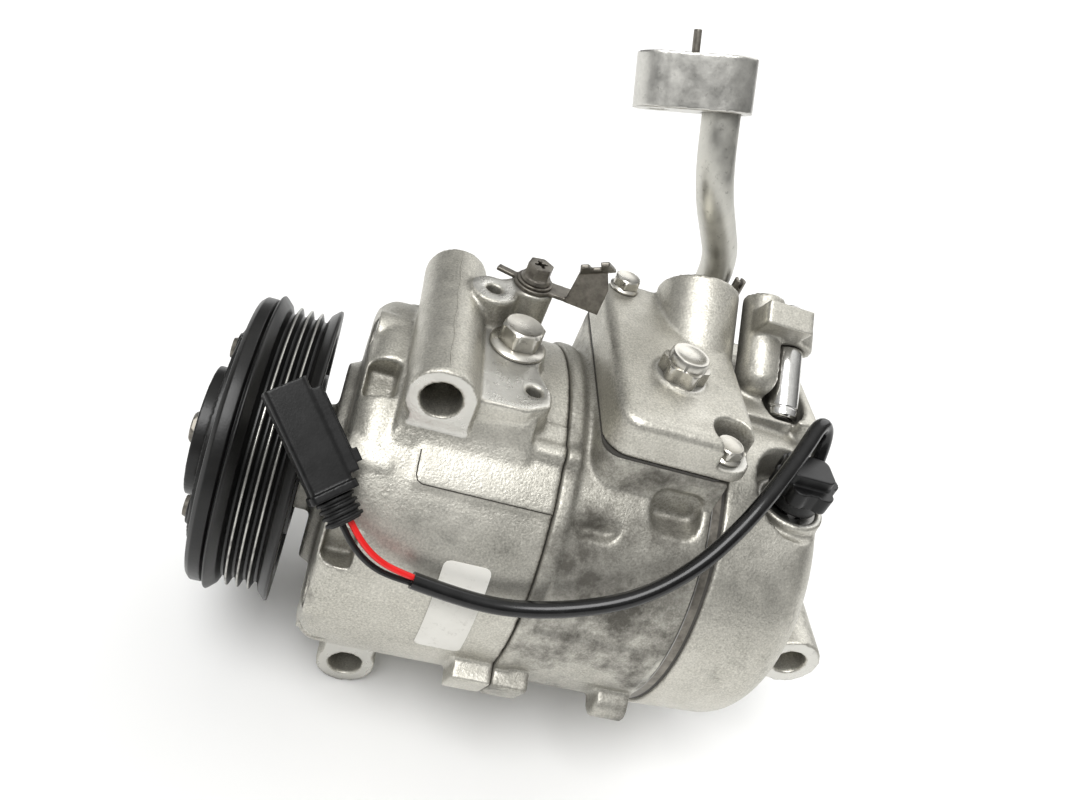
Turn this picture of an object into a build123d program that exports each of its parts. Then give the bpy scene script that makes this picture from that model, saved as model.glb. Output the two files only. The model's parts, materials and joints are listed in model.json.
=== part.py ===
"""Clutchless, variable-displacement air-conditioning compressor for a car engine.

Frame: millimetres. The drive shaft lies along X with the pulley at the low end,
the belt's centre plane is X = 0, and the machined pad and the muffler cover face +Z.
"""
import os
from math import cos, pi, radians, sin, tan

from build123d import *

os.makedirs("parts", exist_ok=True)

# ---------------------------------------------------------------- driving dimensions
# body castings along the shaft
NOSE_FRONT = -12.0         # front end of the nose that carries the pulley bearing
RACE_STOP = 9.5            # step that stops the bearing's inner race
BOSS_FRONT = 16.6          # raised ring round the nose
FACE_X = 21.0              # front face of the front housing
SEAM_X = 86.4              # front housing to cylinder block
BLOCK_END_X = 137.4        # cylinder block to valve plate
REAR_X = 141.4             # valve plate stack to rear housing
REAR_END_X = 181.0         # rear face
BODY_R = 60.7
REAR_R = 59.6
BLOCK_RIM = 1.2            # raised band where the block meets the front housing
SHOULDER_R = 8.5           # rounding of the front shoulder
REAR_ROUND = 10.0
NOSE_R = 17.5
BOSS_R = 34.5
CHAMBER_R = 54.0
CHAMBER_FRONT = 33.0
SHOULDER_POCKET_R = 56.5   # middle of the pockets between the bolt bosses
LAND_H = 0.8               # height of the cylinder block's raised land
SHALLOW_POCKET_Y, DEEP_POCKET_Y = -43.2, -33.5   # floors of the pockets under the muffler

# shaft line
SHAFT_R = 8.0
SHAFT_NECK_R = 6.0
SHAFT_NECK_X = -6.0
RUNNING_GAP = 0.05         # radial clearance of every turning fit
SHAFT_FRONT = -19.0
SHAFT_REAR = 113.0
SEAL_R = 12.5
RADIAL_BEARING_R = 14.0
REAR_BEARING_R = 11.0

# cylinders and through bolts
CYLINDERS = 7
CYLINDER_PITCH_R = 37.0
BORE_R = 13.5
PISTON_R = 13.4
BOLT_PITCH_R = 52.5
BOLT_R = 3.0
BOLT_HOLE_R = 3.4
FIRST_BOLT_DEG = 6.5       # from +Z towards +Y
BOLT_SEAT_X = 27.0
BOLT_HEAD_H = 5.0
BOLT_END_X = 168.0

# swash plate drive
SWASH_X = 66.5
SWASH_T = 8.0
SWASH_R = 44.0
LUG_PLATE_X = 37.3
LUG_PLATE_T = 9.0
SHOE_R = 6.5
PISTON_CROWN_X = 118.0
HINGE_X, HINGE_Z, HINGE_HALF_Y, HINGE_PIN_R = 56.0, 19.0, 6.5, 2.5

# pulley, four grooves of the 3.56 mm belt profile
GROOVE_PITCH = 3.56
RIDGES = 3
RIDGE_R = 48.9
GROOVE_DEPTH = 2.8
RIDGE_FLAT = 0.5
GROOVE_FLAT = 1.0
FLANGE_R = 51.4
RIM_R = 49.5
RIM_IN_R = 43.5
RIM_FRONT = -16.5
RIM_REAR = 10.4
PULLEY_BEARING_OUT_R = 26.0
PULLEY_BEARING_HALF = 9.4
SNAP_RING_X = -10.8
BALLS = 14
BALL_R = 3.0
BALL_PITCH_R = 21.75
WEB_X0, WEB_X1 = -6.0, -1.0

# hub
DAMPER_R = 38.0
DAMPER_FRONT = -19.0
DAMPER_T = 2.8
HUB_R = 22.5
HUB_FRONT = -24.8
DAMPER_BLOCKS = 6

# mounting bores, all along Y, mouths facing -Y
MOUTH_Y = -34.0
TUBE_X, TUBE_Z, TUBE_R, TUBE_FAR_Y = 44.1, 64.0, 10.8, 38.0
LUG_X, LUG_Z, LUG_R, LUG_FAR_Y = 43.2, -66.7, 10.8, 34.0
REAR_LUG_X, REAR_LUG_Z, REAR_LUG_R, REAR_LUG_FAR_Y = 200.5, -14.0, 11.6, -4.0
MOUNT_BORE_R = 6.1
SEAM_BOSS_X0, SEAM_BOSS_X1, SEAM_BOSS_DEG = 73.0, 99.0, 24.5

# pad on the front housing
PEDESTAL_X0, PEDESTAL_X1 = 34.0, 74.5
PEDESTAL_OUTLINE = [(-20, 62), (-29.5, 62), (-33.5, 53.5), (-37.5, 48), (-37.5, 45), (-20, 45)]   # Y, Z
RIB_YZ, RIB_R = (-29.8, 51.4), 4.0   # rib across the front seam
RIB_X0, RIB_X1 = 72.0, 91.5
PAD_Z = 66.0
PAD_BOSS_Z = 76.0
PAD_BOLT = (66.2, 1.4)
PAD_TAPPED = (72.0, -20.0)
PAD_BOSS = (55.2, 15.8)
PAD_SCREW = (68.5, 25.0)

# muffler
MUFFLER_SEAM_Z = 61.0
MUFFLER_TOP_Z = 75.5
MUFFLER_X0, MUFFLER_X1 = 95.0, 143.5
MUFFLER_Y0, MUFFLER_Y1 = -35.0, 50.0
MUFFLER_CORNER = 9.0
GASKET_T = 0.8
CENTRE_PLUG = (118.5, -4.5)
CORNER_BOLT = (103.5, 43.0)
POCKET_BOLT = (134.6, -27.0)
POCKET_Z = 66.0            # seat of the bolt in the cover's open pocket
DOME = (132.0, 44.0, 77.0)
DOME_R = 15.0
DOME_END = 5.0             # the dome's far end lies this far past its reference point
PORT_TILT = 35.0           # ports lean this far up from +Y
PORT_BOSS = (155.3, 20.0, 69.0)
PORT_BOSS_R, PORT_BOSS_L = 7.7, 30.0
REAR_PORT_R, REAR_PORT_DEPTH = 4.5, 14.0
RELIEF = (167.0, 10.0, 60.0)
RELIEF_R = 6.0

# suction port on the far side of the cylinder block, with its check valve
SUCTION_X, SUCTION_Z = 112.0, 43.0
SUCTION_MOUTH_Y = 58.0
SUCTION_BOSS_R, SUCTION_BOSS_L = 11.5, 34.0
SUCTION_PORT_R, SUCTION_PORT_DEPTH = 9.5, 5.0
CHECK_R = 8.0
CHECK_SEAT_T = 3.0
CHECK_PISTON_L = 7.0
CHECK_TRAVEL = 3.0         # the piston opens inwards

# control valve at the top of the rear housing
VALVE_X, VALVE_Y = 168.5, -21.0
VALVE_RIM_Z, VALVE_RIM_R = 50.0, 12.3
VALVE_BORE_R = 9.6

# discharge pipe: foot block behind the muffler, two-lobed end block at the top
PIPE_R = 6.5
PIPE_WALL = 1.2
PIPE_BASE = (140.5, 63.0)
FOOT_X, FOOT_Z, FOOT_T = 138.0, 53.0, 21.0
FOOT_BOLT_X = 128.0
PORT_PIN = (148.5, 57.0)
PIN_L = 33.0
END_AXIS = (-0.23, 0.39, 0.90)
END_PLANE = Plane(origin=(106.0, 56.6, 139.1), x_dir=(0.969, 0, 0.247), z_dir=END_AXIS)
END_BLOCK_T = 17.5
END_PIPE_AT = 7.0
END_STUD_AT = -14.5
END_STUD_R = 3.5
END_SOCKET = 6.0           # depth of the pipe's socket
END_BORE_R = 5.8           # bore for the spigot of the line's fitting
DOWEL_AT, DOWEL_R = -4.0, 1.35
DOWEL_ROOT_R, DOWEL_ROOT_L = 1.1, 6.0
DOWEL_L = 8.0

# clip on the pad's screw boss
CLIP_T = 1.4
CLIP_PLATE = Plane(origin=(79.5, 21.0, PAD_BOSS_Z), x_dir=(0.98, -0.18, 0), z_dir=(-0.18, -0.98, 0))
CLIP_FORK = Plane(origin=(80.5, 21.5, PAD_BOSS_Z + 12), x_dir=(0.92, 0, 0.38), z_dir=(0.3, -0.62, -0.72))

# blank label on the front housing
LABEL_X, LABEL_W = 58.0, 15.0
LABEL_Z, LABEL_H = 5.5, 37.0

# control lead: one sleeve, then two bare wires that end inside the plug's boot
SLEEVE_R = 2.6
WIRE_R = 0.95
SLEEVE_ROUTE = [(174.2, -11.8, 62.5), (174.6, -7.4, 71.2), (168.6, -9.3, 77), (161.9, -20.3, 70.6),
                (150, -36.7, 62.4), (142.3, -45.5, 53.6), (132.3, -54, 43.1), (119.8, -59.5, 32.3),
                (106.3, -62.3, 25.2), (86.5, -63.6, 18.3), (67.5, -63.9, 17.2), (49.6, -63.2, 20.4)]
RED_ROUTE = [(49.66, -63.2, 21.6), (43, -63.6, 23.6), (37.2, -63.5, 26.8), (32.3, -62.6, 31),
             (27.95, -60.2, 35.35), (25.15, -57.85, 37.95)]
BLACK_ROUTE = [(49.24, -63.2, 19.25), (42.3, -64, 20.9), (35.8, -64, 24.2), (30.3, -63.3, 29.2),
               (26.15, -61.4, 34.35), (23.35, -59.05, 36.95)]
LEAD_OUTLET = Plane(origin=SLEEVE_ROUTE[0], z_dir=Vector(*SLEEVE_ROUTE[1]) - Vector(*SLEEVE_ROUTE[0]))
PLUG_AXIS = Vector(-0.626, 0.525, 0.576).normalized()
PLUG_WIDE = Vector(0.758, 0.53, 0.379)
PLUG_TAIL = Vector(26.9, -60.7, 35.0)
BOOT_L = 8.0
PLUG_L = 33.5
PLUG_W, PLUG_H = 12.5, 10.4

port_dir = (0, cos(radians(PORT_TILT)), sin(radians(PORT_TILT)))
half_step = 180 / CYLINDERS
suction_seat_y = SUCTION_MOUTH_Y - SUCTION_PORT_DEPTH
check_open_y = suction_seat_y - CHECK_SEAT_T


def at_y(y):
    """Plane across Y with sketch axes X and Z; extruding it goes towards -Y."""
    return Plane.XZ.offset(-y)


def at_x(x):
    """Plane across the shaft with sketch axes Y and Z; extruding it goes towards +X."""
    return Plane.YZ.offset(x)


def at_z(z):
    """Level plane with sketch axes X and Y."""
    return Plane.XY.offset(z)


def ring_points(radius, count, first_deg):
    """Sketch points (Y, Z) round the shaft, the angle counted from +Z towards +Y."""
    step = 2 * pi / count
    start = radians(first_deg)
    return [(radius * sin(start + i * step), radius * cos(start + i * step)) for i in range(count)]


def port_plane(x, y, z):
    """Plane across a tilted port's axis."""
    return Plane(origin=(x, y, z), x_dir=(1, 0, 0), z_dir=port_dir)


def along_port(start, distance):
    """Point so far along the port direction."""
    return tuple(a + distance * b for a, b in zip(start, port_dir))


def shell_point(radius, below_deg):
    """Sketch point (Y, Z) on the -Y side of the shell, so far below the shaft's level."""
    return (-radius * cos(radians(below_deg)), -radius * sin(radians(below_deg)))


bolt_points = ring_points(BOLT_PITCH_R, CYLINDERS, FIRST_BOLT_DEG)
cylinder_points = ring_points(CYLINDER_PITCH_R, CYLINDERS, FIRST_BOLT_DEG + half_step)


# ---------------------------------------------------------------- castings
with BuildPart() as front_housing:
    # turned outline of the nose, the boss and the crank chamber shell
    with BuildSketch(Plane.XZ):
        with BuildLine():
            nose = Polyline((NOSE_FRONT, 0), (NOSE_FRONT, NOSE_R), (RACE_STOP, NOSE_R),
                            (RACE_STOP, NOSE_R + 1.5), (BOSS_FRONT, NOSE_R + 1.5), (BOSS_FRONT, BOSS_R),
                            (FACE_X, BOSS_R + 2), (FACE_X, BODY_R - SHOULDER_R))
            shoulder = JernArc(start=nose @ 1, tangent=(0, 1), radius=SHOULDER_R, arc_size=-90)
            Polyline(shoulder @ 1, (SEAM_X, BODY_R), (SEAM_X, 0), (NOSE_FRONT, 0))
        make_face()
    revolve(axis=Axis.X)
    # smooth raised panel below the pad
    with BuildSketch(at_x(43)):
        Circle(BODY_R + 0.7)
        with Locations((-34, 50)):
            Rectangle(24, 18, mode=Mode.INTERSECT)
    extrude(amount=SEAM_X - 43)
    # upper mounting tube on its pedestal
    with BuildSketch(at_y(TUBE_FAR_Y)):
        with Locations((TUBE_X, TUBE_Z)):
            Circle(TUBE_R)
        with Locations((TUBE_X + 1.5, 50)):
            Rectangle(2 * TUBE_R - 3, 28)
    extrude(amount=TUBE_FAR_Y - MOUTH_Y)
    # pad, rising from the shell beside the tube
    with BuildSketch(at_z(30)):
        with BuildLine():
            Polyline((TUBE_X, MOUTH_Y + 2), (70.5, MOUTH_Y + 3.5), (77.5, -26), (78, -19), (74, -9),
                     (74.5, 6), (66, 12), (TUBE_X, 12), close=True)
        make_face()
        fillet(vertices().sort_by(Axis.X)[-3:], 3)
    extrude(amount=PAD_Z - 30)
    with BuildSketch(at_z(30)):
        with Locations(PAD_BOLT):
            Circle(10)
    extrude(amount=PAD_Z - 30)
    # drafted pedestal below the tube's mouth and the pad, and the rib beside it
    with BuildSketch(at_x(PEDESTAL_X0)):
        with BuildLine():
            Polyline(*PEDESTAL_OUTLINE, close=True)
        make_face()
    extrude(amount=PEDESTAL_X1 - PEDESTAL_X0)
    with BuildSketch(at_x(RIB_X0)):
        with Locations(RIB_YZ):
            Circle(RIB_R)
    extrude(amount=SEAM_X - RIB_X0)
    with BuildSketch(at_z(30)):
        with Locations(PAD_BOSS):
            Circle(8)
        with Locations(PAD_SCREW):
            Circle(7.6)
        with Locations(((PAD_BOSS[0] + PAD_SCREW[0]) / 2, (PAD_BOSS[1] + PAD_SCREW[1]) / 2 + 1)):
            Rectangle(12, 9, rotation=38)
    extrude(amount=PAD_BOSS_Z - 30)
    # lower mounting lug and its web
    with BuildSketch(at_y(LUG_FAR_Y)):
        with Locations((LUG_X, LUG_Z)):
            Circle(LUG_R)
        with Locations((LUG_X, LUG_Z + 11)):
            Rectangle(2 * LUG_R - 3, 18)
    extrude(amount=LUG_FAR_Y - MOUTH_Y)
    # bolt bosses that stand out of the front shoulder
    with BuildSketch(at_x(FACE_X + 0.8)):
        with Locations(bolt_points):
            Circle(8.6)
    extrude(amount=14)
    # cored pockets between the bolt bosses, open on the shoulder
    with BuildSketch(at_x(FACE_X + 1.8)):
        with PolarLocations(SHOULDER_POCKET_R, CYLINDERS, start_angle=90 - FIRST_BOLT_DEG - half_step):
            Rectangle(11, 13)
    extrude(amount=9.2, mode=Mode.SUBTRACT)
    # half of the lower boss that bridges the front seam
    with BuildSketch(at_x(SEAM_BOSS_X0)):
        with Locations(shell_point(57, SEAM_BOSS_DEG)):
            Rectangle(20, 16, rotation=SEAM_BOSS_DEG)
    extrude(amount=SEAM_X - SEAM_BOSS_X0)
    # hollows: crank chamber, bearing and seal bores, nose bore
    with BuildSketch(Plane.XZ):
        with BuildLine():
            Polyline((NOSE_FRONT, 0), (NOSE_FRONT, SEAL_R), (CHAMBER_FRONT - 12, SEAL_R),
                     (CHAMBER_FRONT - 12, RADIAL_BEARING_R), (CHAMBER_FRONT, RADIAL_BEARING_R),
                     (CHAMBER_FRONT, CHAMBER_R - 6), (CHAMBER_FRONT + 6, CHAMBER_R),
                     (SEAM_X, CHAMBER_R), (SEAM_X, 0), close=True)
        make_face()
    revolve(axis=Axis.X, mode=Mode.SUBTRACT)
    # o-ring groove in the rear joint face
    with BuildSketch(at_x(SEAM_X)):
        Circle(58.6)
        Circle(56.4, mode=Mode.SUBTRACT)
    extrude(amount=-2, mode=Mode.SUBTRACT)
    # snap ring groove round the nose
    with BuildSketch(at_x(SNAP_RING_X)):
        Circle(NOSE_R)
        Circle(NOSE_R - 0.8, mode=Mode.SUBTRACT)
    extrude(amount=1.3, mode=Mode.SUBTRACT)
    # counterbored seats for the through bolts
    with BuildSketch(at_x(BOLT_SEAT_X)):
        with Locations(bolt_points):
            Circle(7)
    extrude(amount=-20, mode=Mode.SUBTRACT)
    with BuildSketch(at_x(BOLT_SEAT_X - 1)):
        with Locations(bolt_points):
            Circle(BOLT_HOLE_R)
    extrude(amount=SEAM_X, mode=Mode.SUBTRACT)
    # mounting bores
    with BuildSketch(at_y(TUBE_FAR_Y + 1)):
        with Locations((TUBE_X, TUBE_Z), (LUG_X, LUG_Z)):
            Circle(MOUNT_BORE_R)
    extrude(amount=TUBE_FAR_Y - MOUTH_Y + 2, mode=Mode.SUBTRACT)
    # tapped holes in the pad, for its bolt, the clip screw and two free ones
    with BuildSketch(at_z(PAD_BOSS_Z + 1)):
        with Locations(PAD_BOSS, PAD_SCREW):
            Circle(2.6)
    extrude(amount=-17, mode=Mode.SUBTRACT)
    with BuildSketch(at_z(PAD_Z + 1)):
        with Locations(PAD_TAPPED):
            Circle(2.6)
        with Locations(PAD_BOLT):
            Circle(4)
    extrude(amount=-13, mode=Mode.SUBTRACT)
front_housing.part.label = "front_housing"
export_step(front_housing.part, "parts/front_housing.step")

with BuildPart() as cylinder_block:
    # turned body with a raised band at the front joint
    with BuildSketch(Plane.XZ):
        with BuildLine():
            Polyline((SEAM_X, 0), (SEAM_X, BODY_R + BLOCK_RIM), (SEAM_X + 4.5, BODY_R + BLOCK_RIM),
                     (SEAM_X + 6, BODY_R - 0.3), (BLOCK_END_X, BODY_R - 0.3), (BLOCK_END_X, 0), close=True)
        make_face()
    revolve(axis=Axis.X)
    # muffler base on top
    with BuildSketch(at_z(20)):
        with Locations(((MUFFLER_X0 + BLOCK_END_X) / 2, (MUFFLER_Y0 + MUFFLER_Y1) / 2)):
            Rectangle(BLOCK_END_X - MUFFLER_X0, MUFFLER_Y1 - MUFFLER_Y0)
        fillet(vertices().group_by(Axis.X)[0], MUFFLER_CORNER - 2)
    extrude(amount=MUFFLER_SEAM_Z - 20)
    # rear half of the rib that crosses the front joint
    with BuildSketch(at_x(SEAM_X)):
        with Locations(RIB_YZ):
            Circle(RIB_R + 0.6)
    extrude(amount=RIB_X1 - SEAM_X)
    # raised land along the -Y side
    with BuildSketch(at_x(SEAM_X + 5)):
        Circle(BODY_R + LAND_H)
        with Locations((-BODY_R, -5)):
            Rectangle(20, 22, mode=Mode.INTERSECT)
    extrude(amount=BLOCK_END_X - SEAM_X - 8)
    # lower boss across the front joint, and the dowel nub near the rear joint
    with BuildSketch(at_x(SEAM_X)):
        with Locations(shell_point(57, SEAM_BOSS_DEG)):
            Rectangle(20, 16, rotation=SEAM_BOSS_DEG)
    extrude(amount=SEAM_BOSS_X1 - SEAM_X)
    with BuildSketch(at_x(BLOCK_END_X - 13)):
        with Locations(shell_point(62.5, 26)):
            Circle(6)
    extrude(amount=12)
    # suction port boss on the far side
    with BuildSketch(at_y(SUCTION_MOUTH_Y)):
        with Locations((SUCTION_X, SUCTION_Z)):
            Circle(SUCTION_BOSS_R)
    extrude(amount=SUCTION_BOSS_L)
    # muffler chamber, cylinders, centre bore
    with BuildSketch(at_z(MUFFLER_SEAM_Z)):
        with Locations((115, 10)):
            RectangleRounded(26, 48, 6)
    extrude(amount=-4, mode=Mode.SUBTRACT)
    with BuildSketch(at_x(SEAM_X)):
        with Locations(cylinder_points):
            Circle(BORE_R)
        with Locations(bolt_points):
            Circle(BOLT_HOLE_R)
        Circle(REAR_BEARING_R)
    extrude(amount=BLOCK_END_X - SEAM_X, mode=Mode.SUBTRACT)
    # suction port and the bore of its check valve
    with BuildSketch(at_y(SUCTION_MOUTH_Y)):
        with Locations((SUCTION_X, SUCTION_Z)):
            Circle(SUCTION_PORT_R)
    extrude(amount=SUCTION_PORT_DEPTH, mode=Mode.SUBTRACT)
    with BuildSketch(at_y(suction_seat_y)):
        with Locations((SUCTION_X, SUCTION_Z)):
            Circle(CHECK_R)
    extrude(amount=CHECK_SEAT_T + CHECK_PISTON_L + CHECK_TRAVEL, mode=Mode.SUBTRACT)
    # two pockets cast into the -Y side under the muffler: a shallow one and a deep one
    with BuildSketch(at_y(SHALLOW_POCKET_Y)):
        with Locations((100.6, 47)):
            RectangleRounded(16.4, 20, 5)
    extrude(amount=30, mode=Mode.SUBTRACT)
    with BuildSketch(at_y(DEEP_POCKET_Y)):
        with Locations((125.4, 48)):
            RectangleRounded(16.6, 12, 4)
    extrude(amount=30, mode=Mode.SUBTRACT)
    with BuildSketch(at_z(MUFFLER_SEAM_Z + 1)):
        with Locations(CORNER_BOLT, POCKET_BOLT, CENTRE_PLUG):
            Circle(2.5)
    extrude(amount=-13, mode=Mode.SUBTRACT)
    with BuildSketch(at_y(MUFFLER_Y1)):
        with Locations((FOOT_BOLT_X, FOOT_Z)):
            Circle(2.6)
    extrude(amount=9, mode=Mode.SUBTRACT)
cylinder_block.part.label = "cylinder_block"
export_step(cylinder_block.part, "parts/cylinder_block.step")

with BuildPart() as rear_housing:
    with BuildSketch(Plane.XZ):
        with BuildLine():
            shell = Polyline((REAR_X, 0), (REAR_X, BODY_R), (REAR_END_X - REAR_ROUND - 4, REAR_R))
            corner = RadiusArc(shell @ 1, (REAR_END_X, REAR_R - REAR_ROUND - 3), REAR_ROUND + 4)
            Polyline(corner @ 1, (REAR_END_X, 0), (REAR_X, 0))
        make_face()
    revolve(axis=Axis.X)
    # spot face round the control valve, then the valve's tower and rim
    with BuildSketch(at_z(VALVE_RIM_Z - 4)):
        with Locations((VALVE_X, VALVE_Y)):
            Circle(15.5)
    extrude(amount=30, mode=Mode.SUBTRACT)
    with BuildSketch(at_z(8)):
        with Locations((VALVE_X, VALVE_Y)):
            Circle(VALVE_RIM_R - 1)
    extrude(amount=VALVE_RIM_Z - 8)
    with BuildSketch(at_z(VALVE_RIM_Z)):
        with Locations((VALVE_X, VALVE_Y)):
            Circle(VALVE_RIM_R)
        with Locations((VALVE_X + 14, VALVE_Y + 14)):
            Circle(4.5)
        with Locations((VALVE_X + 9, VALVE_Y + 9)):
            Rectangle(12, 8, rotation=45)
    extrude(amount=-4)
    # saddle under the ports, with a rib along its rear edge
    with BuildSketch(at_z(30)):
        with Locations((159.2, 26)):
            RectangleRounded(23, 46, 5)
    extrude(amount=34)
    with BuildSketch(at_z(40)):
        with Locations((174, 20)):
            RectangleRounded(9, 34, 2)
    extrude(amount=26)
    # closed port boss and the relief valve's ear, both leaning with the port tilt
    with BuildSketch(port_plane(*PORT_BOSS)):
        Circle(PORT_BOSS_R)
    extrude(amount=PORT_BOSS_L)
    with Locations(PORT_BOSS):
        Sphere(PORT_BOSS_R)
    with BuildSketch(port_plane(*along_port(RELIEF, 27))):
        Circle(9)
        with Locations((-9, -8)):
            Rectangle(18, 20)
    extrude(amount=9)
    with BuildSketch(port_plane(*along_port(PORT_BOSS, PORT_BOSS_L - REAR_PORT_DEPTH))):
        Circle(REAR_PORT_R)
    extrude(amount=REAR_PORT_DEPTH, mode=Mode.SUBTRACT)
    # rear mounting lug and its arm
    with BuildSketch(at_y(REAR_LUG_FAR_Y)):
        with Locations((REAR_LUG_X, REAR_LUG_Z)):
            Circle(REAR_LUG_R)
        with Locations((REAR_LUG_X - 15, REAR_LUG_Z)):
            Rectangle(30, 2 * REAR_LUG_R - 4)
    extrude(amount=REAR_LUG_FAR_Y - MOUTH_Y)
    # suction and discharge chambers behind the valve plate
    with BuildSketch(at_x(REAR_X)):
        Circle(25)
    extrude(amount=26, mode=Mode.SUBTRACT)
    with BuildSketch(at_x(REAR_X)):
        Circle(46)
        Circle(30, mode=Mode.SUBTRACT)
        with Locations((-21, 60)):
            Rectangle(34, 60, mode=Mode.SUBTRACT)
    extrude(amount=22, mode=Mode.SUBTRACT)
    with BuildSketch(at_x(REAR_X)):
        with Locations(bolt_points):
            Circle(BOLT_R)
    extrude(amount=BOLT_END_X - REAR_X, mode=Mode.SUBTRACT)
    # control valve bore, relief valve bore, mounting bore
    with BuildSketch(at_z(VALVE_RIM_Z)):
        with Locations((VALVE_X, VALVE_Y)):
            Circle(VALVE_BORE_R)
    extrude(amount=-34, mode=Mode.SUBTRACT)
    with BuildSketch(port_plane(*along_port(RELIEF, 20))):
        Circle(RELIEF_R - 1)
    extrude(amount=26, mode=Mode.SUBTRACT)
    with BuildSketch(port_plane(*along_port(RELIEF, -2))):
        Circle(RELIEF_R + 2)
    extrude(amount=29, mode=Mode.SUBTRACT)
    with BuildSketch(at_y(REAR_LUG_FAR_Y)):
        with Locations((REAR_LUG_X, REAR_LUG_Z)):
            Circle(MOUNT_BORE_R)
    extrude(amount=REAR_LUG_FAR_Y - MOUTH_Y, mode=Mode.SUBTRACT)
rear_housing.part.label = "rear_housing"
export_step(rear_housing.part, "parts/rear_housing.step")

# ---------------------------------------------------------------- valve plate stack
with BuildPart() as suction_reed_sheet:
    with BuildSketch(at_x(BLOCK_END_X)):
        Circle(REAR_R)
        with Locations(bolt_points):
            Circle(BOLT_HOLE_R, mode=Mode.SUBTRACT)
        # slot round each reed tongue
        with Locations(cylinder_points):
            Circle(9, mode=Mode.SUBTRACT)
            Circle(7.5)
            Rectangle(5, 18)
    extrude(amount=0.4)
suction_reed_sheet.part.label = "suction_reed_sheet"
export_step(suction_reed_sheet.part, "parts/suction_reed_sheet.step")

with BuildPart() as valve_plate:
    with BuildSketch(at_x(BLOCK_END_X + 0.4)):
        Circle(REAR_R)
        with Locations(bolt_points):
            Circle(BOLT_HOLE_R, mode=Mode.SUBTRACT)
        with Locations(ring_points(CYLINDER_PITCH_R + 6, CYLINDERS, FIRST_BOLT_DEG + half_step)):
            Circle(3.2, mode=Mode.SUBTRACT)
        with Locations(ring_points(CYLINDER_PITCH_R - 15, CYLINDERS, FIRST_BOLT_DEG + half_step)):
            Circle(2.6, mode=Mode.SUBTRACT)
    extrude(amount=2.6)
valve_plate.part.label = "valve_plate"
export_step(valve_plate.part, "parts/valve_plate.step")

with BuildPart() as discharge_reed_sheet:
    # seven tongues on one hub
    with BuildSketch(at_x(BLOCK_END_X + 3)):
        Circle(14)
        with Locations(ring_points(CYLINDER_PITCH_R - 15, CYLINDERS, FIRST_BOLT_DEG + half_step)):
            Circle(3.6)
        with PolarLocations(12, CYLINDERS, start_angle=90 - FIRST_BOLT_DEG - half_step):
            Rectangle(22, 5)
    extrude(amount=0.4)
discharge_reed_sheet.part.label = "discharge_reed_sheet"
export_step(discharge_reed_sheet.part, "parts/discharge_reed_sheet.step")

with BuildPart() as rear_gasket:
    with BuildSketch(at_x(BLOCK_END_X + 3)):
        Circle(REAR_R)
        Circle(47, mode=Mode.SUBTRACT)
        with Locations(bolt_points):
            Circle(BOLT_HOLE_R, mode=Mode.SUBTRACT)
    extrude(amount=1.0)
rear_gasket.part.label = "rear_gasket"
export_step(rear_gasket.part, "parts/rear_gasket.step")

with BuildPart() as front_o_ring:
    with BuildSketch(at_x(SEAM_X)):
        Circle(58.5)
        Circle(56.5, mode=Mode.SUBTRACT)
    extrude(amount=-1.9)
front_o_ring.part.label = "front_o_ring"
export_step(front_o_ring.part, "parts/front_o_ring.step")

with BuildPart() as through_bolts:
    with BuildSketch(at_x(BOLT_SEAT_X)):
        with Locations(bolt_points):
            Circle(BOLT_R)
    extrude(amount=BOLT_END_X - 2 - BOLT_SEAT_X)
    with BuildSketch(at_x(BOLT_SEAT_X)):
        with Locations(bolt_points):
            Circle(6.4)
    extrude(amount=-1.4)
    with BuildSketch(at_x(BOLT_SEAT_X - 1.4)):
        with Locations(bolt_points):
            RegularPolygon(5.6, 6)
    extrude(amount=1.4 - BOLT_HEAD_H)
through_bolts.part.label = "through_bolts"
export_step(through_bolts.part, "parts/through_bolts.step")

# ---------------------------------------------------------------- muffler
with BuildPart() as muffler_gasket:
    with BuildSketch(at_z(MUFFLER_SEAM_Z)):
        with Locations(((MUFFLER_X0 + BLOCK_END_X) / 2, (MUFFLER_Y0 + MUFFLER_Y1) / 2)):
            RectangleRounded(BLOCK_END_X - MUFFLER_X0 - 0.6, MUFFLER_Y1 - MUFFLER_Y0 - 0.6, 6)
        with Locations((115, 10)):
            RectangleRounded(26, 48, 6, mode=Mode.SUBTRACT)
        with Locations(CORNER_BOLT, POCKET_BOLT, CENTRE_PLUG):
            Circle(3.2, mode=Mode.SUBTRACT)
    extrude(amount=GASKET_T)
muffler_gasket.part.label = "muffler_gasket"
export_step(muffler_gasket.part, "parts/muffler_gasket.step")

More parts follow.
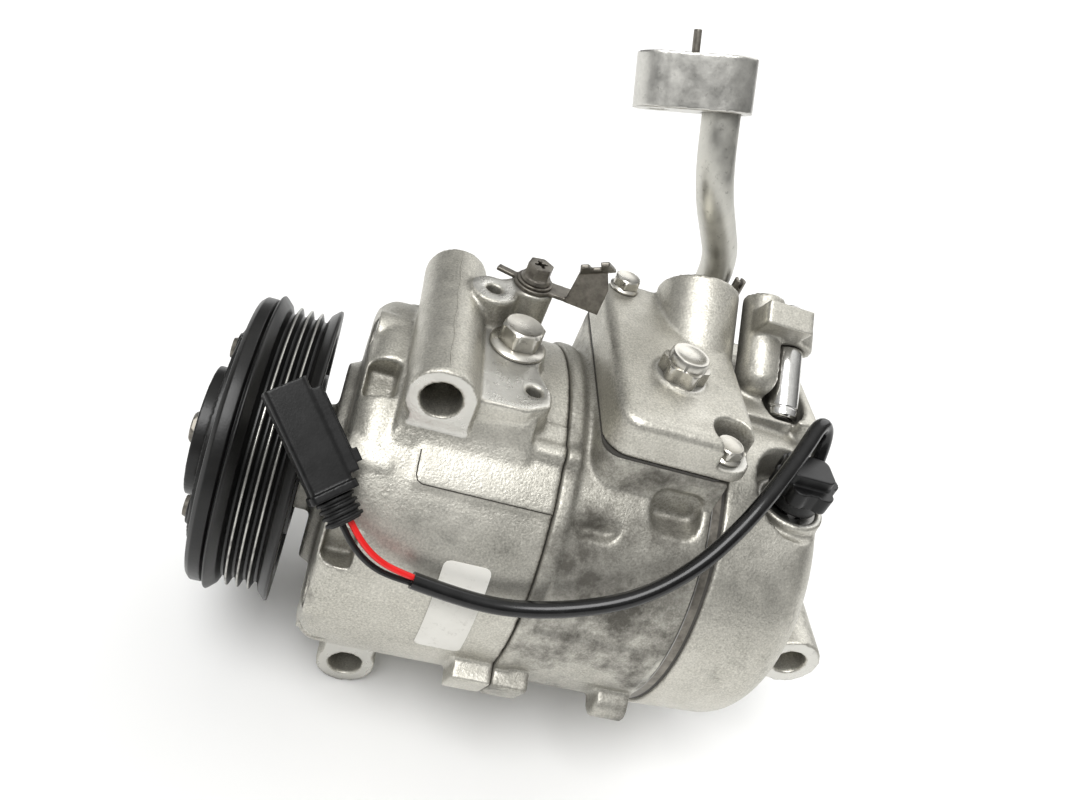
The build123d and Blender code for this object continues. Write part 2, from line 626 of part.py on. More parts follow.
with BuildPart() as muffler_cover:
    with BuildSketch(at_z(MUFFLER_SEAM_Z + GASKET_T)):
        with Locations(((MUFFLER_X0 + MUFFLER_X1) / 2, (MUFFLER_Y0 + MUFFLER_Y1) / 2)):
            RectangleRounded(MUFFLER_X1 - MUFFLER_X0, MUFFLER_Y1 - MUFFLER_Y0, MUFFLER_CORNER)
    extrude(amount=MUFFLER_TOP_Z - MUFFLER_SEAM_Z - GASKET_T, taper=3)
    fillet(faces().sort_by(Axis.Z)[-1].edges(), 4)
    # closed dome of the outlet rising out of the top
    with BuildSketch(port_plane(*along_port(DOME, -34))):
        Circle(DOME_R)
    extrude(amount=34 + DOME_END)
    with BuildSketch(at_z(MUFFLER_SEAM_Z + GASKET_T)):
        Rectangle(600, 600)
    extrude(amount=-60, mode=Mode.SUBTRACT)
    # raised seats of the corner bolt and the centre plug
    with BuildSketch(at_z(MUFFLER_TOP_Z)):
        with Locations(CENTRE_PLUG):
            Circle(9)
    extrude(amount=0.8)
    # open pocket at one corner
    with BuildSketch(at_z(POCKET_Z)):
        with Locations(POCKET_BOLT):
            Circle(7.6)
        with Locations((POCKET_BOLT[0] + 6, POCKET_BOLT[1] - 6)):
            Rectangle(16, 16, rotation=45)
    extrude(amount=20, mode=Mode.SUBTRACT)
    # hollow underside and bolt holes
    with BuildSketch(at_z(MUFFLER_SEAM_Z + GASKET_T)):
        with Locations((115, 10)):
            RectangleRounded(26, 48, 6)
        with Locations(CENTRE_PLUG):
            Circle(6, mode=Mode.SUBTRACT)
    extrude(amount=9, mode=Mode.SUBTRACT)
    with BuildSketch(at_z(MUFFLER_SEAM_Z)):
        with Locations(CORNER_BOLT, POCKET_BOLT, CENTRE_PLUG):
            Circle(3.2)
    extrude(amount=30, mode=Mode.SUBTRACT)
muffler_cover.part.label = "muffler_cover"
export_step(muffler_cover.part, "parts/muffler_cover.step")


def disc_on(plane, x, y, radius, amount, taper=0):
    """Round disc or shank standing on a plane, added to the part being built."""
    with BuildSketch(plane) as outline:
        with Locations((x, y)):
            Circle(radius)
    extrude(outline.sketch, amount=amount, taper=taper)


def hex_screw(x, y, seat_z, across, head_h, flange_r, shank_r, shank_l):
    """Flanged hexagon screw standing on seat_z, added to the part being built."""
    disc_on(at_z(seat_z), x, y, shank_r, -shank_l)
    disc_on(at_z(seat_z), x, y, flange_r, 1.6, taper=20)
    with BuildSketch(at_z(seat_z + 1)) as head:
        with Locations((x, y)):
            RegularPolygon(across / 2, 6, major_radius=False, rotation=12)
    extrude(head.sketch, amount=head_h - 1)


with BuildPart() as muffler_bolts:
    hex_screw(*CORNER_BOLT, MUFFLER_TOP_Z, 9, 5, 5.4, 2.5, MUFFLER_TOP_Z - MUFFLER_SEAM_Z + 10)
    hex_screw(*POCKET_BOLT, POCKET_Z, 9, 5, 5.4, 2.5, POCKET_Z - MUFFLER_SEAM_Z + 10)
muffler_bolts.part.label = "muffler_bolts"
export_step(muffler_bolts.part, "parts/muffler_bolts.step")

with BuildPart() as muffler_centre_bolt:
    hex_screw(*CENTRE_PLUG, MUFFLER_TOP_Z + 0.8, 13, 8.4, 8.4, 2.5, MUFFLER_TOP_Z - MUFFLER_SEAM_Z + 10)
muffler_centre_bolt.part.label = "muffler_centre_bolt"
export_step(muffler_centre_bolt.part, "parts/muffler_centre_bolt.step")

# ---------------------------------------------------------------- pad bolt and clip
with BuildPart() as pad_bolt:
    hex_screw(*PAD_BOLT, PAD_Z, 13, 8.5, 9.5, 4, 9)
pad_bolt.part.label = "pad_bolt"
export_step(pad_bolt.part, "parts/pad_bolt.step")

with BuildPart() as clip_bracket:
    # flat foot under the screw, upright plate, and a forked tip folded back over
    with BuildSketch(at_z(PAD_BOSS_Z)):
        with Locations(PAD_SCREW):
            Circle(7)
        with Locations((PAD_SCREW[0] + 9, PAD_SCREW[1] - 1)):
            Rectangle(26, 8, rotation=-6)
        with Locations((PAD_SCREW[0] - 9, PAD_SCREW[1] + 3)):
            Rectangle(8, 3, rotation=-20)
        with Locations(PAD_SCREW):
            Circle(2.7, mode=Mode.SUBTRACT)
    extrude(amount=CLIP_T)
    with BuildSketch(CLIP_PLATE):
        with BuildLine():
            Polyline((0, 0), (12, 0), (12, 10), (9, 17), (1, 13), close=True)
        make_face()
    extrude(amount=CLIP_T)
    with BuildSketch(CLIP_FORK):
        with BuildLine():
            Polyline((0, 0), (12, 0), (9, 15), (6.2, 15), (7, 6), (4, 6), (2.6, 13), (0, 13), close=True)
        make_face()
    extrude(amount=CLIP_T)
clip_bracket.part.label = "clip_bracket"
export_step(clip_bracket.part, "parts/clip_bracket.step")

with BuildPart() as clip_washer:
    with BuildSketch(at_z(PAD_BOSS_Z + CLIP_T)):
        with Locations(PAD_SCREW):
            Circle(6.2)
            Circle(2.7, mode=Mode.SUBTRACT)
    extrude(amount=1)
clip_washer.part.label = "clip_washer"
export_step(clip_washer.part, "parts/clip_washer.step")

with BuildPart() as clip_screw:
    hex_screw(*PAD_SCREW, PAD_BOSS_Z + CLIP_T + 1, 8, 6, 5.4, 2.6, 16)
    # cross recess in the head
    with BuildSketch(at_z(PAD_BOSS_Z + CLIP_T + 7)):
        with Locations(PAD_SCREW):
            Rectangle(4.6, 1.1, rotation=20)
            Rectangle(1.1, 4.6, rotation=20)
            Circle(1.1)
    extrude(amount=-2.4, mode=Mode.SUBTRACT)
clip_screw.part.label = "clip_screw"
export_step(clip_screw.part, "parts/clip_screw.step")

# ---------------------------------------------------------------- discharge pipe
with BuildPart() as pipe_foot_block:
    with BuildSketch(at_y(MUFFLER_Y1 + FOOT_T)):
        with Locations((FOOT_X, FOOT_Z)):
            RectangleRounded(28, 18, 4)
        with Locations((FOOT_BOLT_X, FOOT_Z)):
            Circle(2.6, mode=Mode.SUBTRACT)
    extrude(amount=FOOT_T)
    with BuildSketch(at_z(FOOT_Z)):
        with Locations(PIPE_BASE):
            Circle(PIPE_R)
        with Locations(PORT_PIN):
            Circle(2.2)
    extrude(amount=12, mode=Mode.SUBTRACT)
pipe_foot_block.part.label = "pipe_foot_block"
export_step(pipe_foot_block.part, "parts/pipe_foot_block.step")

end_socket = END_PLANE.from_local_coords((END_PIPE_AT, 0, END_SOCKET))
pipe_route = [(*PIPE_BASE, FOOT_Z), (*PIPE_BASE, 88), end_socket - 29 * END_PLANE.z_dir, end_socket]
with BuildPart() as discharge_pipe:
    with BuildLine() as pipe_line:
        FilletPolyline(*pipe_route, radius=30)
    with BuildSketch(Plane(origin=pipe_line.line @ 0, z_dir=pipe_line.line % 0)):
        Circle(PIPE_R)
        Circle(PIPE_R - PIPE_WALL, mode=Mode.SUBTRACT)
    sweep()
discharge_pipe.part.label = "discharge_pipe"
export_step(discharge_pipe.part, "parts/discharge_pipe.step")

with BuildPart() as pipe_end_block:
    # two-lobed plate square to the pipe's end, with a stud hole and a dowel hole
    with BuildSketch(END_PLANE):
        with BuildLine():
            Polyline((END_STUD_AT, -8.3), (END_PIPE_AT, -9.9), (END_PIPE_AT, 9.9),
                     (END_STUD_AT, 8.3), close=True)
        make_face()
        with Locations((END_PIPE_AT, 0)):
            Circle(10)
        with Locations((END_STUD_AT, 0)):
            Circle(8.5)
    extrude(amount=END_BLOCK_T)
    with BuildSketch(END_PLANE):
        with Locations((END_PIPE_AT, 0)):
            Circle(PIPE_R)
    extrude(amount=END_SOCKET, mode=Mode.SUBTRACT)
    with BuildSketch(END_PLANE):
        with Locations((END_PIPE_AT, 0)):
            Circle(END_BORE_R)
        with Locations((END_STUD_AT, 0)):
            Circle(END_STUD_R)
    extrude(amount=END_BLOCK_T, mode=Mode.SUBTRACT)
    with BuildSketch(END_PLANE.offset(END_BLOCK_T)):
        with Locations((DOWEL_AT, 0)):
            Circle(DOWEL_ROOT_R)
    extrude(amount=-DOWEL_ROOT_L, mode=Mode.SUBTRACT)
pipe_end_block.part.label = "pipe_end_block"
export_step(pipe_end_block.part, "parts/pipe_end_block.step")

with BuildPart() as pipe_end_dowel:
    with BuildSketch(END_PLANE.offset(END_BLOCK_T)):
        with Locations((DOWEL_AT, 0)):
            Circle(DOWEL_ROOT_R)
    extrude(amount=-DOWEL_ROOT_L)
    with BuildSketch(END_PLANE.offset(END_BLOCK_T)):
        with Locations((DOWEL_AT, 0)):
            Circle(DOWEL_R)
    extrude(amount=DOWEL_L)
pipe_end_dowel.part.label = "pipe_end_dowel"
export_step(pipe_end_dowel.part, "parts/pipe_end_dowel.step")

with BuildPart() as pipe_foot_bolt:
    with BuildSketch(at_y(MUFFLER_Y1 + FOOT_T)):
        with Locations((FOOT_BOLT_X, FOOT_Z)):
            Circle(2.6)
    extrude(amount=FOOT_T + 8)
    with BuildSketch(at_y(MUFFLER_Y1 + FOOT_T + 5)):
        with Locations((FOOT_BOLT_X, FOOT_Z)):
            RegularPolygon(4.5, 6, major_radius=False)
    extrude(amount=5)
pipe_foot_bolt.part.label = "pipe_foot_bolt"
export_step(pipe_foot_bolt.part, "parts/pipe_foot_bolt.step")

with BuildPart() as port_pin:
    with BuildSketch(at_z(FOOT_Z)):
        with Locations(PORT_PIN):
            Circle(2.2)
    extrude(amount=PIN_L)
    with BuildSketch(at_z(FOOT_Z + PIN_L)):
        with Locations(PORT_PIN):
            Rectangle(1.2, 5)
    extrude(amount=-3, mode=Mode.SUBTRACT)
port_pin.part.label = "port_pin"
export_step(port_pin.part, "parts/port_pin.step")

# ---------------------------------------------------------------- relief valve
with BuildPart() as relief_valve:
    with BuildSketch(port_plane(*RELIEF)):
        Circle(RELIEF_R)
    extrude(amount=27)
    with BuildSketch(port_plane(*along_port(RELIEF, 27))):
        Circle(RELIEF_R - 1)
    extrude(amount=17)
    with BuildSketch(port_plane(*RELIEF)):
        Circle(RELIEF_R - 2.4)
    extrude(amount=6, mode=Mode.SUBTRACT)
relief_valve.part.label = "relief_valve"
export_step(relief_valve.part, "parts/relief_valve.step")

# ---------------------------------------------------------------- check valve in the suction port
with BuildPart() as check_valve_seat:
    with BuildSketch(at_y(suction_seat_y)):
        with Locations((SUCTION_X, SUCTION_Z)):
            Circle(CHECK_R)
            Circle(5, mode=Mode.SUBTRACT)
    extrude(amount=CHECK_SEAT_T)
check_valve_seat.part.label = "check_valve_seat"
export_step(check_valve_seat.part, "parts/check_valve_seat.step")

with BuildPart() as check_valve_piston:
    # cup, open inwards for its spring
    with BuildSketch(at_y(check_open_y)):
        with Locations((SUCTION_X, SUCTION_Z)):
            Circle(CHECK_R - RUNNING_GAP)
            Circle(5.5, mode=Mode.SUBTRACT)
    extrude(amount=CHECK_PISTON_L)
    with BuildSketch(at_y(check_open_y)):
        with Locations((SUCTION_X, SUCTION_Z)):
            Circle(5.6)
    extrude(amount=2.5)
check_valve_piston.part.label = "check_valve_piston"
export_step(check_valve_piston.part, "parts/check_valve_piston.step")

# ---------------------------------------------------------------- control valve and its lead
valve_axis = Axis((VALVE_X, VALVE_Y, 0), (0, 0, 1))
with BuildPart() as control_valve_body:
    # stepped turned body with two o-ring grooves and the plunger's bore
    with BuildSketch(Plane(origin=(VALVE_X, VALVE_Y, 0), x_dir=(1, 0, 0), z_dir=(0, -1, 0))):
        with BuildLine():
            Polyline((2.05, 16.5), (7.6, 16.5), (7.6, 22), (6.6, 22), (6.6, 23.6), (7.6, 23.6), (7.6, 30),
                     (6.6, 30), (6.6, 31.6), (7.6, 31.6), (7.6, 36), (VALVE_BORE_R - 0.1, 36),
                     (VALVE_BORE_R - 0.1, 48), (6, 48), (6, VALVE_RIM_Z + 1), (0, VALVE_RIM_Z + 1),
                     (0, 35.5), (2.05, 35.5), close=True)
        make_face()
    revolve(axis=valve_axis)
control_valve_body.part.label = "control_valve_body"
export_step(control_valve_body.part, "parts/control_valve_body.step")

with BuildPart() as control_valve_plunger:
    with BuildSketch(at_z(17)):
        with Locations((VALVE_X, VALVE_Y)):
            Circle(2)
    extrude(amount=17)
control_valve_plunger.part.label = "control_valve_plunger"
export_step(control_valve_plunger.part, "parts/control_valve_plunger.step")

with BuildPart() as control_valve_o_rings:
    with BuildSketch(at_z(22)):
        with Locations((VALVE_X, VALVE_Y)):
            Circle(8)
            Circle(6.7, mode=Mode.SUBTRACT)
    extrude(amount=1.5)
    with BuildSketch(at_z(30)):
        with Locations((VALVE_X, VALVE_Y)):
            Circle(8)
            Circle(6.7, mode=Mode.SUBTRACT)
    extrude(amount=1.5)
control_valve_o_rings.part.label = "control_valve_o_rings"
export_step(control_valve_o_rings.part, "parts/control_valve_o_rings.step")

with BuildPart() as control_valve_retainer:
    with BuildSketch(at_z(48.1)):
        with Locations((VALVE_X, VALVE_Y)):
            Circle(VALVE_BORE_R - 0.1)
            Circle(6.8, mode=Mode.SUBTRACT)
            with Locations((0, -8)):
                Rectangle(4, 6, mode=Mode.SUBTRACT)
    extrude(amount=1)
control_valve_retainer.part.label = "control_valve_retainer"
export_step(control_valve_retainer.part, "parts/control_valve_retainer.step")

with BuildPart() as control_valve_connector:
    # lobed over-moulded cap with the lead's outlet
    with BuildSketch(at_z(VALVE_RIM_Z + 1)):
        with Locations((VALVE_X, VALVE_Y)):
            Circle(8.6)
    extrude(amount=5)
    with BuildSketch(at_z(VALVE_RIM_Z + 6)):
        with Locations((VALVE_X, VALVE_Y)):
            Circle(9.5)
            with PolarLocations(8, 6):
                Circle(3.4)
    extrude(amount=6)
    with BuildSketch(at_z(VALVE_RIM_Z + 12)):
        with Locations((VALVE_X - 1, VALVE_Y)):
            RectangleRounded(16, 12, 3)
    extrude(amount=4)
    with BuildSketch(LEAD_OUTLET):
        Circle(4)
    extrude(amount=-9)
control_valve_connector.part.label = "control_valve_connector"
export_step(control_valve_connector.part, "parts/control_valve_connector.step")


def corner_radii(route):
    """Largest tangent arc at each corner of a route: 0.45 of the shorter run over tan(half the turn)."""
    radii = []
    for before, at, after in zip(route, route[1:], route[2:]):
        into = Vector(*at) - Vector(*before)
        out = Vector(*after) - Vector(*at)
        half_turn = radians(into.get_angle(out)) / 2
        radii.append(0.45 * min(into.length, out.length) / tan(half_turn))
    return radii


def cord(route, radius, name):
    """Sweep a round section along straight runs joined by tangent arcs, into the part being built."""
    radii = corner_radii(route)
    with BuildLine():
        path = FilletPolyline(*route, radius=radii)
    with BuildSketch(Plane(origin=path @ 0, z_dir=path % 0)) as section:
        Circle(radius)
    sweep(section.sketch, path=path)
    print(name, "length", round(path.length, 1), "radii", [round(r, 1) for r in radii],
          "section x length", round(pi * radius ** 2 * path.length, 1))


with BuildPart() as control_lead_sleeve:
    cord(SLEEVE_ROUTE, SLEEVE_R, "control_lead_sleeve")
control_lead_sleeve.part.label = "control_lead_sleeve"
export_step(control_lead_sleeve.part, "parts/control_lead_sleeve.step")
print("volume", round(control_lead_sleeve.part.volume, 1))

with BuildPart() as lead_wire_red:
    cord(RED_ROUTE, WIRE_R, "lead_wire_red")
lead_wire_red.part.label = "lead_wire_red"
export_step(lead_wire_red.part, "parts/lead_wire_red.step")

with BuildPart() as lead_wire_black:
    cord(BLACK_ROUTE, WIRE_R, "lead_wire_black")
lead_wire_black.part.label = "lead_wire_black"
export_step(lead_wire_black.part, "parts/lead_wire_black.step")


def plug_plane(distance):
    """Plane across the plug, so far from the boot's end."""
    return Plane(origin=PLUG_TAIL + distance * PLUG_AXIS, x_dir=PLUG_WIDE, z_dir=PLUG_AXIS)


with BuildPart() as lead_plug_boot:
    # ribbed rubber boot
    with BuildSketch(plug_plane(0)):
        Ellipse(4.6, 3.8)
    extrude(amount=BOOT_L)
    for rib in range(4):
        with BuildSketch(plug_plane(0.6 + 2 * rib)):
            Ellipse(5.6, 4.8)
        extrude(amount=1)
lead_plug_boot.part.label = "lead_plug_boot"
export_step(lead_plug_boot.part, "parts/lead_plug_boot.step")

with BuildPart() as lead_plug:
    with BuildSketch(plug_plane(BOOT_L)):
        RectangleRounded(PLUG_W, PLUG_H, 1.6)
    extrude(amount=PLUG_L)
    # collar at the cable end and a rail down each side of the latch
    with BuildSketch(plug_plane(BOOT_L)):
        RectangleRounded(PLUG_W + 1.6, PLUG_H + 1.6, 2)
    extrude(amount=2.4)
    with BuildSketch(plug_plane(BOOT_L + 4)):
        with Locations((PLUG_W / 2 + 1.2, 4), (PLUG_W / 2 + 1.2, -4)):
            Rectangle(2.8, 1.6)
    extrude(amount=PLUG_L - 8)
    # mating recess with two contact holes
    with BuildSketch(plug_plane(BOOT_L + PLUG_L)):
        RectangleRounded(PLUG_W - 3, PLUG_H - 3, 1.2)
    extrude(amount=-2, mode=Mode.SUBTRACT)
    with BuildSketch(plug_plane(BOOT_L + PLUG_L - 2)):
        with Locations((-3, 0), (3, 0)):
            Circle(1.3)
    extrude(amount=-10, mode=Mode.SUBTRACT)
lead_plug.part.label = "lead_plug"
export_step(lead_plug.part, "parts/lead_plug.step")

with BuildPart() as lead_plug_latch:
    # lever between the rails, pivoting near its middle
    with BuildSketch(plug_plane(BOOT_L + 6)):
        with Locations((PLUG_W / 2 + 2.5, 0)):
            Rectangle(1.6, 5.6)
    extrude(amount=PLUG_L - 12)
    with BuildSketch(plug_plane(BOOT_L + 6)):
        with Locations((PLUG_W / 2 + 3.9, 0)):
            Rectangle(1.6, 5.6)
    extrude(amount=4)
lead_plug_latch.part.label = "lead_plug_latch"
export_step(lead_plug_latch.part, "parts/lead_plug_latch.step")

with BuildPart() as rating_label:
    # blank sheet wrapped on the front housing
    with BuildSketch(at_x(LABEL_X)):
        Circle(BODY_R + 0.15)
        Circle(BODY_R, mode=Mode.SUBTRACT)
        with Locations((-BODY_R, LABEL_Z)):
            Rectangle(12, LABEL_H, mode=Mode.INTERSECT)
    extrude(amount=LABEL_W)
rating_label.part.label = "rating_label"
export_step(rating_label.part, "parts/rating_label.step")


# ---------------------------------------------------------------- shaft line
def ring(x, length, outer_r, inner_r):
    """Plain ring round the shaft, added to the part being built."""
    with BuildSketch(at_x(x)) as section:
        Circle(outer_r)
        Circle(inner_r, mode=Mode.SUBTRACT)
    extrude(section.sketch, amount=length)


with BuildPart() as drive_shaft:
    with BuildSketch(Plane.XZ):
        with BuildLine():
            Polyline((SHAFT_FRONT, 3), (SHAFT_FRONT, SHAFT_NECK_R), (SHAFT_NECK_X, SHAFT_NECK_R),
                     (SHAFT_NECK_X, SHAFT_R), (SHAFT_REAR, SHAFT_R), (SHAFT_REAR, 0),
                     (SHAFT_FRONT + 16, 0), (SHAFT_FRONT + 16, 3), close=True)
        make_face()
    revolve(axis=Axis.X)
drive_shaft.part.label = "drive_shaft"
export_step(drive_shaft.part, "parts/drive_shaft.step")

with BuildPart() as shaft_seal:
    ring(4, 9, SEAL_R, SHAFT_R + 2.5)
    ring(4, 1.5, SEAL_R, SHAFT_R + RUNNING_GAP)
    ring(9, 1, SHAFT_R + 2.5, SHAFT_R + RUNNING_GAP)
shaft_seal.part.label = "shaft_seal"
export_step(shaft_seal.part, "parts/shaft_seal.step")

with BuildPart() as front_radial_bearing:
    ring(CHAMBER_FRONT - 12, 11.5, RADIAL_BEARING_R, SHAFT_R + RUNNING_GAP)
front_radial_bearing.part.label = "front_radial_bearing"
export_step(front_radial_bearing.part, "parts/front_radial_bearing.step")

with BuildPart() as front_thrust_bearing:
    ring(CHAMBER_FRONT, LUG_PLATE_X - CHAMBER_FRONT - 0.1, 27, 15)
front_thrust_bearing.part.label = "front_thrust_bearing"
export_step(front_thrust_bearing.part, "parts/front_thrust_bearing.step")

with BuildPart() as rear_radial_bearing:
    ring(SHAFT_REAR - 15, 13, REAR_BEARING_R, SHAFT_R + RUNNING_GAP)
rear_radial_bearing.part.label = "rear_radial_bearing"
export_step(rear_radial_bearing.part, "parts/rear_radial_bearing.step")

with BuildPart() as rear_thrust_bearing:
    ring(SHAFT_REAR + 0.1, 4, REAR_BEARING_R, 3)
rear_thrust_bearing.part.label = "rear_thrust_bearing"
export_step(rear_thrust_bearing.part, "parts/rear_thrust_bearing.step")

with BuildPart() as lug_plate:
    ring(LUG_PLATE_X, LUG_PLATE_T, 40, SHAFT_R)
    # two ears for the hinge pin
    with BuildSketch(at_x(LUG_PLATE_X + LUG_PLATE_T)):
        with Locations((HINGE_HALF_Y, HINGE_Z), (-HINGE_HALF_Y, HINGE_Z)):
            Rectangle(3, 8)
    extrude(amount=HINGE_X + 4 - LUG_PLATE_X - LUG_PLATE_T)
    with BuildSketch(at_y(10)):
        with Locations((HINGE_X, HINGE_Z)):
            Circle(HINGE_PIN_R)
    extrude(amount=20, mode=Mode.SUBTRACT)
lug_plate.part.label = "lug_plate"
export_step(lug_plate.part, "parts/lug_plate.step")

with BuildPart() as swash_plate:
    ring(SWASH_X - SWASH_T / 2, SWASH_T, SWASH_R, SHAFT_R + RUNNING_GAP)
    ring(SWASH_X - 9, 18, 14, SHAFT_R + RUNNING_GAP)
    # ear between the lug plate's ears
    with BuildSketch(at_x(HINGE_X - 4)):
        with Locations((0, HINGE_Z)):
            Rectangle(2 * HINGE_HALF_Y - 3.4, 8)
    extrude(amount=SWASH_X - HINGE_X)
    with BuildSketch(at_y(10)):
        with Locations((HINGE_X, HINGE_Z)):
            Circle(HINGE_PIN_R + RUNNING_GAP)
    extrude(amount=20, mode=Mode.SUBTRACT)
swash_plate.part.label = "swash_plate"
export_step(swash_plate.part, "parts/swash_plate.step")

with BuildPart() as hinge_pin:
    with BuildSketch(at_y(HINGE_HALF_Y + 1.5)):
        with Locations((HINGE_X, HINGE_Z)):
            Circle(HINGE_PIN_R)
    extrude(amount=2 * HINGE_HALF_Y + 3)
hinge_pin.part.label = "hinge_pin"
export_step(hinge_pin.part, "parts/hinge_pin.step")

with BuildPart() as swash_spring:
    with BuildLine() as coil:
        Helix(pitch=3, height=8.6, radius=10.5, center=(LUG_PLATE_X + LUG_PLATE_T + 0.9, 0, 0), direction=(1, 0, 0))
    with BuildSketch(Plane(origin=coil.line @ 0, z_dir=coil.line % 0)):
        Circle(0.8)
    sweep(path=coil.line, is_frenet=True)
swash_spring.part.label = "swash_spring"
export_step(swash_spring.part, "parts/swash_spring.step")

# ---------------------------------------------------------------- pistons and shoes
cylinder_degs = [FIRST_BOLT_DEG + half_step + i * 360 / CYLINDERS for i in range(CYLINDERS)]
swash_faces = (SWASH_X - SWASH_T / 2 - RUNNING_GAP, SWASH_X + SWASH_T / 2 + RUNNING_GAP)

with BuildPart() as one_piston:
    # single-headed piston at the top of the ring, bridging over the swash plate's edge
    with BuildSketch(at_x(SWASH_X - 15)):
        with Locations((0, CYLINDER_PITCH_R)):
            Circle(PISTON_R)
    extrude(amount=PISTON_CROWN_X - SWASH_X + 15)
    # ring groove near the crown
    with BuildSketch(at_x(PISTON_CROWN_X - 6)):
        with Locations((0, CYLINDER_PITCH_R)):
            Circle(PISTON_R + 1)
            Circle(PISTON_R - 1, mode=Mode.SUBTRACT)
    extrude(amount=2, mode=Mode.SUBTRACT)
    # shoe pockets, then the slot over the swash plate's edge
    with Locations((swash_faces[0], 0, CYLINDER_PITCH_R), (swash_faces[1], 0, CYLINDER_PITCH_R)):
        Sphere(SHOE_R + RUNNING_GAP, rotation=(0, 90, 0), mode=Mode.SUBTRACT)
    with BuildSketch(at_x(SWASH_X - 7)):
        Circle(SWASH_R + 1.2)
    extrude(amount=14, mode=Mode.SUBTRACT)
    with BuildSketch(at_x(SWASH_X - 16)):
        Circle(27)
    extrude(amount=12, mode=Mode.SUBTRACT)

with BuildPart() as one_shoe_pair:
    with Locations((swash_faces[0], 0, CYLINDER_PITCH_R), (swash_faces[1], 0, CYLINDER_PITCH_R)):
        Sphere(SHOE_R)
    with BuildSketch(at_x(swash_faces[0])):
        Circle(SWASH_R + 10)
    extrude(amount=swash_faces[1] - swash_faces[0], mode=Mode.SUBTRACT)


def ring_of(builder):
    """Copies of a part built at the top of the ring, one for each cylinder."""
    return [builder.part.rotate(Axis.X, -deg) for deg in cylinder_degs]


with BuildPart() as pistons:
    add(ring_of(one_piston))
pistons.part.label = "pistons"
export_step(pistons.part, "parts/pistons.step")

with BuildPart() as piston_shoes:
    add(ring_of(one_shoe_pair))
piston_shoes.part.label = "piston_shoes"
export_step(piston_shoes.part, "parts/piston_shoes.step")

# ---------------------------------------------------------------- pulley and hub
with BuildPart() as pulley_inner_race:
    ring(-PULLEY_BEARING_HALF, 2 * PULLEY_BEARING_HALF, BALL_PITCH_R - 1.4, NOSE_R)
    with BuildSketch(Plane.XZ):
        with Locations((0, BALL_PITCH_R)):
            Circle(BALL_R + RUNNING_GAP)
    revolve(axis=Axis.X, mode=Mode.SUBTRACT)
pulley_inner_race.part.label = "pulley_inner_race"
export_step(pulley_inner_race.part, "parts/pulley_inner_race.step")

with BuildPart() as pulley_outer_race:
    ring(-PULLEY_BEARING_HALF, 2 * PULLEY_BEARING_HALF, PULLEY_BEARING_OUT_R, BALL_PITCH_R + 1.4)
    with BuildSketch(Plane.XZ):
        with Locations((0, BALL_PITCH_R)):
            Circle(BALL_R + RUNNING_GAP)
    revolve(axis=Axis.X, mode=Mode.SUBTRACT)
pulley_outer_race.part.label = "pulley_outer_race"
export_step(pulley_outer_race.part, "parts/pulley_outer_race.step")

with BuildPart() as pulley_balls:
    # balls joined by their cage
    ring(-3.4, 6.8, BALL_PITCH_R + 0.8, BALL_PITCH_R - 0.8)
    with Locations([(0, y, z) for y, z in ring_points(BALL_PITCH_R, BALLS, 0)]):
        Sphere(BALL_R)
pulley_balls.part.label = "pulley_balls"
export_step(pulley_balls.part, "parts/pulley_balls.step")

with BuildPart() as bearing_snap_ring:
    with BuildSketch(at_x(SNAP_RING_X + 0.05)):
        Circle(NOSE_R + 1.6)
        Circle(NOSE_R - 0.8, mode=Mode.SUBTRACT)
        with Locations((0, -NOSE_R)):
            Rectangle(6, 8, mode=Mode.SUBTRACT)
    extrude(amount=1.2)
bearing_snap_ring.part.label = "bearing_snap_ring"
export_step(bearing_snap_ring.part, "parts/bearing_snap_ring.step")

groove_run = (GROOVE_PITCH - RIDGE_FLAT - GROOVE_FLAT) / 2
valley_r = RIDGE_R - GROOVE_DEPTH
belt_outline = []
for groove in range(RIDGES + 1):
    centre = (groove - RIDGES / 2) * GROOVE_PITCH
    belt_outline += [(centre - GROOVE_FLAT / 2 - groove_run, RIDGE_R), (centre - GROOVE_FLAT / 2, valley_r),
                     (centre + GROOVE_FLAT / 2, valley_r), (centre + GROOVE_FLAT / 2 + groove_run, RIDGE_R)]

with BuildPart() as pulley:
    with BuildSketch(Plane.XZ):
        with BuildLine():
            Polyline((RIM_FRONT, RIM_IN_R), (RIM_FRONT, RIM_R - 1.5), (RIM_FRONT + 1.5, RIM_R), (-11.6, RIM_R),
                     (-10.8, RIM_R - 1.2), (-10.3, FLANGE_R - 0.4), (-9.7, FLANGE_R), (-9.1, FLANGE_R - 0.4),
                     *belt_outline,
                     (9.0, FLANGE_R - 0.4), (9.5, FLANGE_R), (RIM_REAR, FLANGE_R - 0.2), (RIM_REAR, RIM_IN_R),
                     (WEB_X1, RIM_IN_R), (WEB_X1, 28.5), (11, 28.5), (11, 25.2), (PULLEY_BEARING_HALF, 25.2),
                     (PULLEY_BEARING_HALF, PULLEY_BEARING_OUT_R), (-11, PULLEY_BEARING_OUT_R), (-11, 28.5),
                     (WEB_X0, 28.5), (WEB_X0, RIM_IN_R), close=True)
        make_face()
    revolve(axis=Axis.X)
pulley.part.label = "pulley"
export_step(pulley.part, "parts/pulley.step")

rivet_points = ring_points(31, 3, 20)

with BuildPart() as damper_plate:
    ring(DAMPER_FRONT, DAMPER_T, DAMPER_R, 13)
    ring(DAMPER_FRONT - 1.5, 1.5, 20, 13)
    with BuildSketch(at_x(DAMPER_FRONT - 1.2)):
        with Locations(rivet_points):
            Circle(5.5)
    extrude(amount=1.2)
    with BuildSketch(at_x(DAMPER_FRONT - 1.2)):
        with Locations(rivet_points):
            Circle(2.5)
    extrude(amount=8, mode=Mode.SUBTRACT)
damper_plate.part.label = "damper_plate"
export_step(damper_plate.part, "parts/damper_plate.step")

